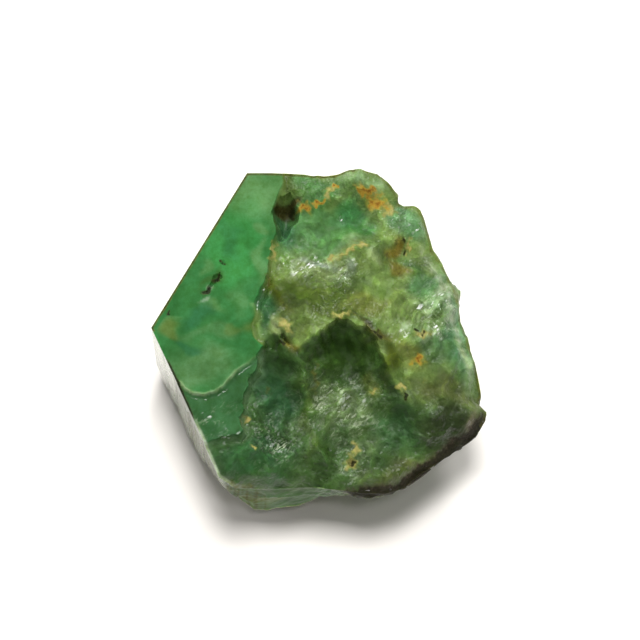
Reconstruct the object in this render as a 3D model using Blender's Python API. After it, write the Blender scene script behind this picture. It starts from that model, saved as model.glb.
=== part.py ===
"""Raw emerald crystal: a stubby six-sided beryl prism, broken across its top and underneath.

It is one solid. It starts as a six-sided prism primitive, subdivided into an even grid, and each
grid point is then moved to the place that the crystal has there:

  the rim     the outline of the top, straight along the three whole prism faces
  the top     a rough break, with a deep hollow in front and two flat plates of the basal facet left
  the sides   three flat prism faces, and broken sides that draw in towards the bottom
  the bottom  a flat rest face, rounded up to the sides

Last, the broken surfaces get their shell-like chips, and a Decimate modifier turns the dense grid
into facets.

Axes: +X right, +Y to the back, +Z up along the crystal's own axis. The origin is at the middle of
the rest face. Sizes below are in millimetres.
"""

import math

import bmesh
import bpy
import numpy as np
from mathutils import Matrix, Vector, noise

MM = 0.001
SOLID_NAME = "emerald_crystal"

# Driving sizes
FACET_HEIGHT = 14.0  # the flat basal facet, above the rest face
GRID = 60  # divisions along each edge of the six-sided blank
EDGE_REACH = 0.1  # how near to an edge of the break a point of the grid is drawn onto it
FACETS = 9200  # triangles left after the Decimate modifier
BLANK_FIRST_CORNER = 30.0  # degrees, where the primitive's corners start

# The rim of the top, counter-clockwise. The first three runs are whole prism faces.
BACK_LEFT, LEFT, FRONT_LEFT = (-5.6, 13.9), (-13.0, 1.2), (-7.7, -10.3)
FRONT_RIGHT, RIGHT, BACK_RIGHT = (6.8, -10.5), (13.2, -4.5), (4.7, 13.9)
CORNERS = (BACK_LEFT, LEFT, FRONT_LEFT, FRONT_RIGHT, RIGHT, BACK_RIGHT)
FRONT_RIM = ((-6.5, -10.9), (-4.4, -10.7), (-1.4, -10.5), (0.9, -10.8), (3.3, -10.9), (5.2, -10.9))
MICA_RIM = ((8.3, -9.4), (9.5, -8.4), (10.7, -7.5), (11.7, -6.9), (12.5, -6.3), (13.1, -5.2))
RAGGED_RIM = (
    (12.6, -3.9), (12.9, -3.3), (12.8, -2.4), (12.5, -1.0), (12.0, 0.2), (11.8, 1.4), (11.2, 2.5),
    (10.9, 4.0), (10.7, 5.1), (10.2, 6.3), (9.7, 7.1), (9.0, 8.1), (8.6, 9.4), (8.3, 10.7),
    (8.0, 11.2), (7.5, 11.5), (6.8, 11.5), (6.3, 11.8), (6.3, 12.4), (5.7, 13.1),
)
BACK_RIM = ((3.4, 14.1), (2.2, 14.1), (1.5, 13.9), (0.5, 13.8), (-1.4, 13.8), (-3.7, 13.9))
RIM = (
    BACK_LEFT, LEFT, FRONT_LEFT, *FRONT_RIM, FRONT_RIGHT, *MICA_RIM, RIGHT, *RAGGED_RIM,
    BACK_RIGHT, *BACK_RIM,
)

# Flat plates of the basal facet that are left on the break: outline, drop below the facet, rise
# per millimetre to the back, and how much the edge strays from the outline
FACET_PLATE = {
    "outline": (
        (-2.8, 14.8), (-2.9, 12.9), (-3.6, 11.1), (-3.5, 9.9), (-3.3, 9.0), (-3.7, 8.1),
        (-4.0, 5.9), (-4.2, 5.0), (-4.6, 4.4), (-5.0, 3.4), (-4.9, 2.5), (-5.3, 1.4), (-5.1, 0.4),
        (-4.4, -0.2), (-4.7, -0.9), (-5.4, -1.5), (-6.1, -2.0), (-6.7, -2.6), (-7.0, -2.9),
        (-7.4, -3.5), (-8.0, -3.9), (-8.9, -4.1), (-9.7, -4.0), (-10.3, -3.7), (-10.7, -3.1),
        (-11.9, -3.4), (-14.6, 1.2), (-6.1, 15.6),
    ),
    "drop": 0.0,
    "rise_back": 0.0,
    "stray": 0.3,
}
STEP_PLATE = {
    "outline": (
        (-4.7, -0.9), (-4.8, -2.0), (-5.3, -2.8), (-5.6, -3.6), (-5.8, -4.4), (-5.8, -5.2),
        (-6.1, -6.0), (-5.8, -6.8), (-6.2, -7.1), (-7.2, -7.4), (-8.1, -7.6), (-8.7, -7.7),
        (-10.0, -8.1), (-14.0, -2.9), (-9.2, 0.8),
    ),
    "drop": 0.02,
    "rise_back": 0.075,
    "stray": 0.8,
}
LEDGE_SLOPE = 0.4  # how far out from a plate its ledge runs down
PLATE_MARGIN = 0.8  # how far out from a plate the chips take to set in fully
STEP_SMOOTHNESS = 0.85  # how much of the chips the lower plate keeps off

# The hollow that the front of the break falls into: the outline of its lip, left to right
HOLLOW_LIP = (
    (-4.4, 0.0), (-3.7, 0.7), (-2.7, 0.9), (-2.2, 0.0), (-1.7, -0.5), (-1.0, 0.2), (-0.2, 0.7),
    (0.5, 1.3), (1.3, 1.8), (2.3, 1.9), (3.3, 1.5), (4.1, 1.0), (4.7, 0.6), (4.9, -0.5),
    (5.1, -1.2), (5.5, -2.0), (6.1, -2.6), (6.7, -3.7), (8.7, -3.9), (10.3, -3.9), (14.2, -4.3),
)
HOLLOW = (*HOLLOW_LIP, (16.0, -16.0), (-16.0, -16.0), (-14.0, -4.0))
HOLLOW_WALL = 2.6  # width of the steep wall under the lip
HOLLOW_SHOULDER = 4.0  # and of the gentle slope to its right
SHOULDER_FROM, SHOULDER_TO = 5.6, 8.6  # where the wall turns into the slope, from left to right

# Spot heights on the break, as (x, y, height against the basal facet)
UPPER_BREAK = (
    (-1.2, 13.4, -0.1), (2.5, 12.7, 0.2), (5.6, 11.7, -0.4), (7.6, 10.6, -1.0), (8.7, 7.9, -1.6),
    (10.7, 4.1, -2.2), (12.2, -1.4, -2.8), (12.6, -3.7, -3.2), (-2.6, 7.7, -0.7), (0.5, 9.0, -1.2),
    (3.3, 10.6, -0.9), (4.0, 8.4, -0.4), (2.1, 7.2, -0.4), (-1.4, 6.3, -1.1), (1.7, 6.0, -1.0),
    (-1.4, 3.5, -0.2), (1.7, 3.5, -0.1), (-2.2, 1.1, -0.2), (2.1, 2.2, 0.1), (4.8, 3.6, -0.5),
    (4.8, 1.1, -0.3), (6.4, 2.1, -0.8), (8.7, 1.4, -1.4), (6.4, -1.1, -1.2), (9.5, -1.7, -1.9),
    (7.2, -2.9, -1.9), (-9.0, 5.0, 0.0), (-6.0, 11.0, 0.0),
)
LOWER_BREAK = (
    (2.1, 1.4, -2.6), (0.9, 0.1, -2.5), (-1.4, -1.1, -1.7), (-3.3, -0.1, -1.6), (-4.1, -1.9, -1.6),
    (-3.0, -4.0, -2.3), (0.9, -3.1, -2.8), (4.0, -2.3, -2.6), (5.6, -3.5, -2.6), (2.5, -6.2, -3.1),
    (6.4, -6.9, -3.4), (-1.4, -7.1, -2.6), (-4.5, -7.2, -2.4), (-6.5, -8.8, -2.0),
    (-3.0, -9.8, -3.1), (0.9, -10.2, -3.4), (5.6, -10.1, -4.1), (8.7, -7.9, -4.1),
    (11.1, -5.9, -4.0), (10.3, -4.5, -3.2), (-8.0, -8.6, -1.5),
)

# How the sides fall, by the angle round the axis in degrees: the size of the bottom edge against
# the rim, and the height at which the side ends above the rest face
TAPER = (
    (0, 0.84), (30, 0.88), (63, 0.93), (90, 0.97), (100, 1.0), (112, 1.0), (174, 1.0), (218, 1.0),
    (228, 0.96), (234, 0.91), (240, 0.92), (250, 1.03), (262, 1.02), (271, 0.93), (276, 0.87),
    (288, 0.80), (300, 0.74), (320, 0.72), (340, 0.76),
)
SIDE_FOOT = (
    (0, 5.0), (30, 3.5), (63, 2.5), (90, 2.0), (112, 1.5), (140, 1.0), (160, 2.0), (174, 3.8),
    (179, 2.6), (185, 3.1), (192, 3.4), (198, 4.4), (203, 2.6), (212, 3.8), (222, 5.2), (228, 4.4),
    (234, 3.6), (240, 3.8), (250, 4.0), (262, 4.4), (271, 5.2), (280, 4.8), (300, 5.4), (320, 6.0),
    (340, 5.8),
)
SIDE_CURVE = 1.7  # above one, a side keeps near to upright at the top and draws in lower down
RIM_ROLL = (
    (0, 0.8), (236, 0.8), (244, 1.7), (262, 1.7), (272, 0.8),
)  # how far the broken part of the rim rolls over, by the angle round the axis
ROLL_SHARE = 0.9  # where the rolling over starts, from the axis to the rim
ROLL_END = 1.05  # and where it would end, just past the rim
SWELL_GATHER = 3  # how much the ragged rim's bulges gather towards the rim
REST_SHARE = 0.5  # where the bottom starts to rise, from the axis to the bottom edge
REST_FADE = 0.25  # and how far from there the chips take to set in
REST_SINK = 0.4  # how deep the flat rest face cuts into it
GROOVES = (
    (104, 1.3, 0.10), (111, 0.8, 0.07), (121, 2.2, 0.12), (133, 0.9, 0.10), (141, 1.2, 0.07),
    (154, 1.8, 0.12), (162, 0.8, 0.08), (184, 1.0, 0.08), (192, 1.8, 0.12), (207, 1.2, 0.10),
    (219, 0.9, 0.10),
)  # growth grooves down the whole faces: angle round the axis, half width in degrees, depth
GROOVE_FADE = 8  # how fast the grooves die out in from the sides
EDGE_BAND = 0.12  # how far down the sides the rim keeps clear of chips and grooves
EDGE_CHIPS = 0.3  # share of the sideways cut of the chips that the rim itself keeps

# The whole prism faces, as a range of angles, and how far the roughness takes to set in beside one
WHOLE_FACES = (97.0, 232.0)
FACE_FADE = 6.0

# Shell-like chips: the size of a chip and how deep it cuts
CHIPS = ((4.4, 1.15), (2.0, 0.5))
CHIP_SEED = 10.0  # how far apart the patterns of the chip sizes lie
NOISE_SEED = 1795470562  # fixes how the edges of the chips wave
CHIP_LEVEL = 0.35  # the height on a chip, from its middle to its crest, that stays where it was
WARP = (2.6, 0.7)  # the size and the reach of the waviness in the chips' edges

# Lumps and hollows on the break: middle, half length, half width, turn in degrees, height
LUMPS = (
    (0.7, 8.9, 2.4, 1.8, 0, -0.35),  # the bowl at the back
    (2.7, 10.2, 1.2, 0.9, 20, -0.35),  # and its deeper end
    (2.1, 7.4, 2.6, 0.45, 26, 0.45),  # the ridge in front of the bowl
    (6.4, 7.9, 0.9, 0.7, 60, -0.7),  # the pocket by the right edge
    (7.3, 10.0, 1.2, 1.2, 0, 0.35),  # the lobe behind it
    (3.4, 13.2, 1.5, 0.6, 0, 0.3),  # the bump on the back edge
    (-2.4, 0.3, 1.4, 0.22, -52, -0.8),  # the crack in the lip
    (5.4, -1.5, 1.2, 0.6, -65, 0.3),  # the lobe that hangs from the lip
    (-0.9, -3.6, 2.8, 0.5, -82, 0.5),  # the rib down the hollow
    (0.4, -8.2, 2.0, 0.4, -68, 0.35),  # and its lower end
    (2.1, 0.5, 1.3, 0.9, 0, -0.4),  # the deepest part, under the lip
    (2.6, -8.7, 0.28, 0.28, 0, -0.6),  # the round pit in the front
    (-7.5, 6.5, 0.17, 0.17, 0, -0.25),  # the round pit in the facet
    (-3.9, 5.1, 1.2, 0.18, 80, -0.3),  # the groove along the facet
)
# Steep-walled holes: outline, depth, how far in the walls slope, and how much the edge strays
NOTCH = {  # beside the facet, near the back
    "outline": (
        (-3.6, 10.8), (-3.3, 11.5), (-2.9, 12.1), (-2.2, 12.3), (-1.7, 11.9), (-1.5, 11.3),
        (-1.4, 10.8), (-1.7, 10.1), (-2.2, 9.3), (-2.8, 8.5), (-3.2, 8.6), (-3.4, 9.7),
    ),
    "depth": 1.3,
    "slope": 0.9,
    "stray": 0.8,
}
LONG_PIT = {  # in the facet
    "outline": (
        (-8.9, 3.9), (-8.7, 4.5), (-8.3, 4.8), (-8.2, 5.3), (-7.7, 5.7), (-7.5, 5.4),
        (-7.8, 4.9), (-8.3, 4.3),
    ),
    "depth": 0.4,
    "slope": 0.25,
    "stray": 0.8,
}
# Ridges that run side by side to the right of the break, each longer on one flank, and the waves
# that they make along their length, as (reach, radians per millimetre, start)
HACKLE = {"middle": (9.2, 2.6), "reach": 3.2, "turn": 50, "spacing": 1.15, "height": 0.28}
HACKLE_FLANK = 0.7
HACKLE_WAVES = ((0.35, 1.3, 0.0), (0.2, 2.9, 1.0))
# How the outlines of the break stray: reach, radians per millimetre to the right and back, start
STRAY_RIGHT = ((0.10, 1.7, 3.1, 0.0), (0.06, -2.9, 7.3, 1.0))
STRAY_BACK = ((0.10, 2.7, -1.3, 2.0), (0.06, 6.7, 3.7, 0.0))


def nearest_on_outline(x, y, outline):
    """The nearest points on a closed outline, and how far inside it the points lie (+ is inside)."""
    reach = np.full(x.shape, np.inf)
    near_x, near_y = x.copy(), y.copy()
    crossings = np.zeros(x.shape, int)
    for (x0, y0), (x1, y1) in zip(outline, (*outline[1:], outline[0])):
        along = ((x - x0) * (x1 - x0) + (y - y0) * (y1 - y0)) / ((x1 - x0) ** 2 + (y1 - y0) ** 2)
        along = np.clip(along, 0.0, 1.0)
        foot_x, foot_y = x0 + along * (x1 - x0), y0 + along * (y1 - y0)
        gap = np.hypot(x - foot_x, y - foot_y)
        near_x, near_y = np.where(gap < reach, (foot_x, foot_y), (near_x, near_y))
        reach = np.minimum(reach, gap)
        rise = y1 - y0 if y1 != y0 else 1.0
        crossings += ((y0 > y) != (y1 > y)) & (x < x0 + (y - y0) * (x1 - x0) / rise)
    return near_x, near_y, np.where(crossings % 2 == 1, reach, -reach)


def inside_outline(x, y, outline):
    """How far points lie inside a closed outline, in millimetres. It is negative outside."""
    return nearest_on_outline(x, y, outline)[2]


def wander(x, y, stray=1.0):
    """How far the edges on the break stray sideways from their outlines."""
    return tuple(
        stray * sum(reach * np.sin(a * x + b * y + start) for reach, a, b, start in waves)
        for waves in (STRAY_RIGHT, STRAY_BACK)
    )


def inside_stray_edge(x, y, outline, stray=1.0):
    """How far points lie inside an outline whose edge strays."""
    shift_x, shift_y = wander(x, y, stray)
    return inside_outline(x + shift_x, y + shift_y, outline)


def draw_to_edges(x, y):
    """Move the points beside an edge of the break onto it, so that the mesh follows the edge."""
    edges = [(HOLLOW, 1.0)]
    edges += [(form["outline"], form["stray"]) for form in (NOTCH, STEP_PLATE, FACET_PLATE)]
    for outline, stray in edges:
        shift_x, shift_y = wander(x, y, stray)
        near_x, near_y, inside = nearest_on_outline(x + shift_x, y + shift_y, outline)
        x, y = np.where(np.abs(inside) < EDGE_REACH, (near_x - shift_x, near_y - shift_y), (x, y))
    return x, y


def smooth_step(value, low, high):
    """Nought below low, one above high, and an even curve between."""
    share = np.clip((value - low) / (high - low), 0.0, 1.0)
    return share * share * (3.0 - 2.0 * share)


def crisp_step(value):
    """Nought below nought, then steep, easing off to one at one."""
    share = np.clip(value, 0.0, 1.0)
    return 1.0 - (1.0 - share) ** 2


def spot_surface(spots, x, y):
    """The height of a smooth sheet through spot heights: a thin-plate spline."""
    spots = np.array(spots)
    count = len(spots)

    def bend(distance):
        return distance**2 * np.log(np.maximum(distance, 1e-9))

    gaps = np.hypot(*(spots[:, None, :2] - spots[None, :, :2]).transpose(2, 0, 1))
    plane = np.column_stack((np.ones(count), spots[:, :2]))
    system = np.zeros((count + 3, count + 3))
    system[:count, :count] = bend(gaps)
    system[:count, count:] = plane
    system[count:, :count] = plane.T
    weights = np.linalg.solve(system, np.append(spots[:, 2], np.zeros(3)))
    height = weights[count] + weights[count + 1] * x + weights[count + 2] * y
    for (spot_x, spot_y, _), weight in zip(spots, weights):
        height = height + weight * bend(np.hypot(x - spot_x, y - spot_y))
    return height


def round_the_axis(angle, table):
    """A value given at angles round the axis, read at other angles."""
    angles, values = np.array(table).T
    return np.interp(angle % 360.0, angles, values, period=360.0)


def rim_radius(angle, outline):
    """How far the outline lies from the axis, at angles in degrees."""
    corners = np.array(outline)
    bearings = np.degrees(np.arctan2(corners[:, 1], corners[:, 0])) % 360.0
    order = np.argsort(bearings)
    corners, bearings = corners[order], bearings[order]
    after = np.searchsorted(bearings, angle % 360.0, side="right") % len(corners)
    start, end = corners[after - 1], corners[after]
    run = end - start
    ray = np.column_stack((np.cos(np.radians(angle)), np.sin(np.radians(angle))))
    return (start[:, 0] * run[:, 1] - start[:, 1] * run[:, 0]) / (
        ray[:, 0] * run[:, 1] - ray[:, 1] * run[:, 0]
    )


def chips(points, size, seed):
    """Shell-like hollows with sharp crests between them, from 0 at a hollow's middle to 1."""
    shift = Vector((seed, 2.0 * seed, 3.0 * seed))
    depths = []
    for point in points:
        place = Vector(point)
        wave = noise.noise_vector(place / WARP[0] + shift) * WARP[1]
        nearest = noise.voronoi((place + wave) / size + shift)[0][0]
        depths.append(min(nearest * nearest, 1.0))
    return np.array(depths)


def lump(x, y, middle_x, middle_y, half_length, half_width, turn, height):
    """A rounded rise, or a hollow where the height is negative."""
    cos, sin = math.cos(math.radians(turn)), math.sin(math.radians(turn))
    along = (x - middle_x) * cos + (y - middle_y) * sin
    across = (y - middle_y) * cos - (x - middle_x) * sin
    return height * np.exp(-((along / half_length) ** 2) - (across / half_width) ** 2)


def hackle(x, y):
    """Ridges side by side, each steep on one side, fading out around their middle."""
    off_x, off_y = x - HACKLE["middle"][0], y - HACKLE["middle"][1]
    turn = math.radians(HACKLE["turn"])
    along = off_x * math.cos(turn) + off_y * math.sin(turn)
    across = off_y * math.cos(turn) - off_x * math.sin(turn)
    for wave, rate, start in HACKLE_WAVES:
        across = across + wave * np.sin(along * rate + start)
    phase = (across / HACKLE["spacing"]) % 1.0
    saw = np.minimum(phase / HACKLE_FLANK, (1.0 - phase) / (1.0 - HACKLE_FLANK))
    fade = np.exp(-((off_x**2 + off_y**2) / HACKLE["reach"] ** 2))
    return HACKLE["height"] * (saw - 0.5) * fade


def top_height(x, y):
    """The height of the top over the rest face."""
    upper = spot_surface(UPPER_BREAK, x, y) + hackle(x, y)
    lower = spot_surface(LOWER_BREAK, x, y)
    shoulder = smooth_step(x, SHOULDER_FROM, SHOULDER_TO)
    wall = HOLLOW_WALL + (HOLLOW_SHOULDER - HOLLOW_WALL) * shoulder
    height = upper + (lower - upper) * crisp_step(inside_stray_edge(x, y, HOLLOW) / wall)
    for plate in (STEP_PLATE, FACET_PLATE):
        level = -plate["drop"] + plate["rise_back"] * y
        on_plate = inside_stray_edge(x, y, plate["outline"], plate["stray"])
        height = level + (height - level) * crisp_step(-on_plate / LEDGE_SLOPE)
    for shape in LUMPS:
        height = height + lump(x, y, *shape)
    for pit in (NOTCH, LONG_PIT):
        in_pit = inside_stray_edge(x, y, pit["outline"], pit["stray"])
        height = height - pit["depth"] * crisp_step(in_pit / pit["slope"])
    return FACET_HEIGHT + height


def plate_share(x, y):
    """One on a flat plate of the top and nought on the rough break."""
    facet = smooth_step(inside_outline(x, y, FACET_PLATE["outline"]), -PLATE_MARGIN, 0.0)
    step = smooth_step(inside_outline(x, y, STEP_PLATE["outline"]), -PLATE_MARGIN, 0.0)
    return np.maximum(facet, STEP_SMOOTHNESS * step)


def shape_points(blank):
    """Where each point of the six-sided blank lies on the crystal, and which way chips move it."""
    turn = np.degrees(np.arctan2(blank[:, 1], blank[:, 0])) - BLANK_FIRST_CORNER
    sector = np.floor(turn / 60.0 + 1e-6).astype(int) % 6
    first = np.radians(BLANK_FIRST_CORNER + 60.0 * sector)
    second = first + math.radians(60.0)
    wide = math.sin(math.radians(60.0))
    to_first = (blank[:, 0] * np.sin(second) - blank[:, 1] * np.cos(second)) / wide
    to_second = (blank[:, 1] * np.cos(first) - blank[:, 0] * np.sin(first)) / wide
    share = np.clip(to_first + to_second, 0.0, 1.0)

    # The primitive's corner at 30 degrees becomes the back right corner, and so on round
    corners = np.array((BACK_RIGHT, BACK_LEFT, LEFT, FRONT_LEFT, FRONT_RIGHT, RIGHT))
    plan = to_first[:, None] * corners[sector] + to_second[:, None] * corners[(sector + 1) % 6]
    angle = np.degrees(np.arctan2(plan[:, 1], plan[:, 0]))
    swell = rim_radius(angle, RIM) / rim_radius(angle, CORNERS)
    plan = plan * (1.0 + (swell - 1.0) * share**SWELL_GATHER)[:, None]

    down = np.clip(0.5 - blank[:, 2], 0.0, 1.0)  # nought at the rim, one at the bottom edge
    is_top = blank[:, 2] > 0.5 - 1e-6
    on_edges = np.column_stack(draw_to_edges(*plan.T))
    plan = np.where((is_top & (share < 1.0 - 1e-6))[:, None], on_edges, plan)
    is_bottom = blank[:, 2] < -0.5 + 1e-6
    taper = 1.0 + (round_the_axis(angle, TAPER) - 1.0) * down**SIDE_CURVE
    foot = round_the_axis(angle, SIDE_FOOT)
    x, y = (plan * taper[:, None]).T

    beside = np.maximum(WHOLE_FACES[0] - angle % 360.0, angle % 360.0 - WHOLE_FACES[1])
    off_faces = smooth_step(beside, 0.0, FACE_FADE)
    roll = round_the_axis(angle, RIM_ROLL) * off_faces * smooth_step(share, ROLL_SHARE, ROLL_END)
    rim = top_height(*plan.T) - roll
    side = rim + (foot - rim) * down
    bottom = foot * smooth_step(share, REST_SHARE, 1.0) - REST_SINK * (1.0 - share)
    z = np.where(is_bottom & (share < 1.0 - 1e-6), bottom, side)

    below_edge = smooth_step(down, 0.0, EDGE_BAND)
    bearing = np.radians(angle)
    away = np.column_stack((np.cos(bearing), np.sin(bearing)))
    groove = sum(d * np.exp(-(((angle % 360.0 - a) / w) ** 2)) for a, w, d in GROOVES)
    groove = groove * below_edge * share**GROOVE_FADE
    x, y = (np.column_stack((x, y)) - away * groove[:, None]).T

    # The chips cut the top and the bottom up and down, and the sides towards the axis
    near_rim = smooth_step(share, ROLL_SHARE, 1.0)
    rough = np.where(is_top, 1.0 - plate_share(x, y), 1.0)
    rough = rough * (1.0 - near_rim * (1.0 - off_faces))
    rough = np.where(is_bottom, smooth_step(share, REST_SHARE, REST_SHARE + REST_FADE), rough)
    outward = np.where(is_top | is_bottom, near_rim, 1.0) * off_faces
    outward = outward * (EDGE_CHIPS + (1.0 - EDGE_CHIPS) * below_edge)
    upward = np.where(is_bottom, -1.0, np.where(is_top, 1.0, 0.0)) * (1.0 - 0.5 * near_rim)
    push = np.column_stack((away * outward[:, None], upward))
    return np.column_stack((x, y, z)), push * rough[:, None]


def six_sided_blank():
    """The prism primitive, one unit in radius and in height, divided into an even grid."""
    blank = bmesh.new()
    bmesh.ops.create_cone(
        blank, cap_ends=True, cap_tris=True, segments=6, radius1=1.0, radius2=1.0, depth=1.0
    )
    bmesh.ops.rotate(
        blank, verts=blank.verts[:], matrix=turn_to_first_corner(blank), cent=(0.0, 0.0, 0.0)
    )
    bmesh.ops.subdivide_edges(blank, edges=blank.edges[:], cuts=GRID - 1, use_grid_fill=True)
    bmesh.ops.triangulate(blank, faces=blank.faces[:])
    return blank


def turn_to_first_corner(blank):
    """The turn about +Z that puts a corner of the primitive at BLANK_FIRST_CORNER."""
    corner = next(v.co for v in blank.verts if v.co.xy.length > 0.5)
    bearing = math.atan2(corner.y, corner.x)
    return Matrix.Rotation(math.radians(BLANK_FIRST_CORNER) - bearing, 3, "Z")


def emerald_material():
    """Cloudy green beryl with a glassy face."""
    material = bpy.data.materials.new("emerald")
    material.use_nodes = True
    surface = material.node_tree.nodes["Principled BSDF"]
    surface.inputs["Base Color"].default_value = (0.10, 0.32, 0.14, 1.0)
    surface.inputs["Roughness"].default_value = 0.28
    surface.inputs["Metallic"].default_value = 0.0
    surface.inputs["IOR"].default_value = 1.58
    return material


def build_crystal():
    """The crystal as one object, in metres."""
    blank = six_sided_blank()
    places = np.array([v.co for v in blank.verts])
    points, push = shape_points(places)
    noise.seed_set(NOISE_SEED)
    for seed, (size, cut) in enumerate(CHIPS, start=1):
        depth = cut * (chips(points, size, CHIP_SEED * seed) - CHIP_LEVEL)
        points = points + push * depth[:, None]
    points[:, 2] = np.maximum(points[:, 2], 0.0)
    for vertex, point in zip(blank.verts, points):
        vertex.co = point * MM
    bmesh.ops.recalc_face_normals(blank, faces=blank.faces[:])

    mesh = bpy.data.meshes.new(SOLID_NAME)
    blank.to_mesh(mesh)
    blank.free()
    crystal = bpy.data.objects.new(SOLID_NAME, mesh)
    crystal.data.materials.append(emerald_material())
    facets = crystal.modifiers.new("facets", "DECIMATE")
    facets.ratio = FACETS / len(mesh.polygons)
    return crystal


def main():
    for old in list(bpy.data.objects):
        bpy.data.objects.remove(old)
    collection = bpy.data.collections.new("raw_emerald_crystal")
    bpy.context.scene.collection.children.link(collection)
    collection.objects.link(build_crystal())


main()
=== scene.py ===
"""Looks of a raw emerald crystal: a short six-sided beryl prism with a broken, hollowed top.

The crystal is one closed mesh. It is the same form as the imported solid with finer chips, ridges and
pits, and it stands for that solid. Mica flakes sit along its lower right edge. Sizes are in
millimetres until the last step of each mesh, which turns them into metres.

Axes: +X right, +Y to the back, +Z up along the crystal's own axis.
"""

import logging
import math
from dataclasses import dataclass, field
from enum import Enum
from typing import Any

import bmesh
import bpy
import numpy as np
from mathutils import Matrix, Vector, noise


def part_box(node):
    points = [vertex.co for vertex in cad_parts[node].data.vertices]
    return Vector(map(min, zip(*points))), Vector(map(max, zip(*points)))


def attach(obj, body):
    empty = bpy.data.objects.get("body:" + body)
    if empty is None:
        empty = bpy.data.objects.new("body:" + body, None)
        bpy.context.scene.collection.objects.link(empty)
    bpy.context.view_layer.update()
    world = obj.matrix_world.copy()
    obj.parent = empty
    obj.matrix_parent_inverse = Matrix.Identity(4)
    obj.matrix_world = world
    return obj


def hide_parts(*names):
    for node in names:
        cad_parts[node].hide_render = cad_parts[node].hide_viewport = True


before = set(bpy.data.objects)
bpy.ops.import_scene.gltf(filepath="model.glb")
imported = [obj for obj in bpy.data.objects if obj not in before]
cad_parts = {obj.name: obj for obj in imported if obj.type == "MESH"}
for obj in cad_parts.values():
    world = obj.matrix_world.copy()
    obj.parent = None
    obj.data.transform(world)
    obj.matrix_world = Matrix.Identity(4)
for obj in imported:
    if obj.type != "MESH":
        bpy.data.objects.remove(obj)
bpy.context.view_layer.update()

MM = 0.001
NODE = "emerald_crystal"
BODY = "root"
CHIP_WAVE_SIZE = 2.6  # the waviness in the edges of the chips
CHIP_WAVE_REACH = 0.7
NOISE_SEED = 1795470562  # fixes how the edges of the chips wave
NEARLY = 1e-6

log = logging.getLogger("emerald")

Points = tuple[tuple[float, float], ...]
Triple = tuple[float, float, float]
Rows = tuple[Triple, ...]
Span = tuple[float, float]  # from one value to another
Socket = bpy.types.NodeSocket


# ------------------------------------------------------------
# Small tools
# ------------------------------------------------------------


def linear(hex_colour: str) -> Triple:
    """An sRGB hex colour as linear red, green and blue.

    Args:
        hex_colour: six hex digits after a hash sign.

    Returns:
        The three linear values.
    """
    parts = [int(hex_colour[i : i + 2], 16) / 255.0 for i in (1, 3, 5)]
    return tuple(p / 12.92 if p <= 0.04045 else ((p + 0.055) / 1.055) ** 2.4 for p in parts)


def smooth_step(value: np.ndarray, low: float, high: float) -> np.ndarray:
    """Nought below low, one above high, and an even curve between."""
    share = np.clip((value - low) / (high - low), 0.0, 1.0)
    return share * share * (3.0 - 2.0 * share)


def crisp_step(value: np.ndarray) -> np.ndarray:
    """Nought below nought, then steep, easing off to one at one."""
    share = np.clip(value, 0.0, 1.0)
    return 1.0 - (1.0 - share) ** 2


def round_the_axis(angle: np.ndarray, table: Points) -> np.ndarray:
    """A value that a table gives at angles round the axis, read at other angles."""
    angles, values = np.array(table).T
    return np.interp(angle % 360.0, angles, values, period=360.0)


def lay_over(under: np.ndarray, over: np.ndarray, share: np.ndarray) -> np.ndarray:
    """One colour laid over another, by a share for each place."""
    return under + (over - under) * share[:, None]


@dataclass(frozen=True)
class Stretch:
    """A stretch of a value that comes and goes evenly: nought outside, one from full to end."""

    start: float
    full: float
    end: float
    gone: float

    def share(self, value: np.ndarray) -> np.ndarray:
        """How far values lie in the stretch."""
        rise = smooth_step(value, self.start, self.full)
        return rise * (1.0 - smooth_step(value, self.end, self.gone))


def wave(x: np.ndarray, y: np.ndarray, *waves: tuple[float, ...]) -> np.ndarray:
    """Waves added up, from rows of height, rate along x, rate along y and start."""
    return sum(height * np.sin(along * x + up * y + start) for height, along, up, start in waves)


def wander(x: np.ndarray, y: np.ndarray, stray: float) -> tuple[np.ndarray, np.ndarray]:
    """How far the edges on the break stray sideways from their outlines.

    Args:
        x: places to the right.
        y: places to the back.
        stray: how far they stray.

    Returns:
        The shifts to the right and to the back.
    """
    shift_x = wave(x, y, (0.10, 1.7, 3.1, 0.0), (0.06, -2.9, 7.3, 1.0))
    shift_y = wave(x, y, (0.10, 2.7, -1.3, 2.0), (0.06, 6.7, 3.7, 0.0))
    return stray * shift_x, stray * shift_y


def chips(points: np.ndarray, size: float, seed: float) -> np.ndarray:
    """Shell-like hollows with sharp crests between them.

    Args:
        points: places in millimetres.
        size: how far apart the hollows are.
        seed: moves the pattern.

    Returns:
        Nought in the middle of a hollow, rising to one at the highest crests.
    """
    shift = Vector((seed, 2.0 * seed, 3.0 * seed))
    depths = []
    for point in points:
        place = Vector(point)
        wave = noise.noise_vector(place / CHIP_WAVE_SIZE + shift) * CHIP_WAVE_REACH
        nearest = noise.voronoi((place + wave) / size + shift)[0][0]
        depths.append(min(nearest * nearest, 1.0))
    return np.array(depths)


# ------------------------------------------------------------
# The broken top
# ------------------------------------------------------------


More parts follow.
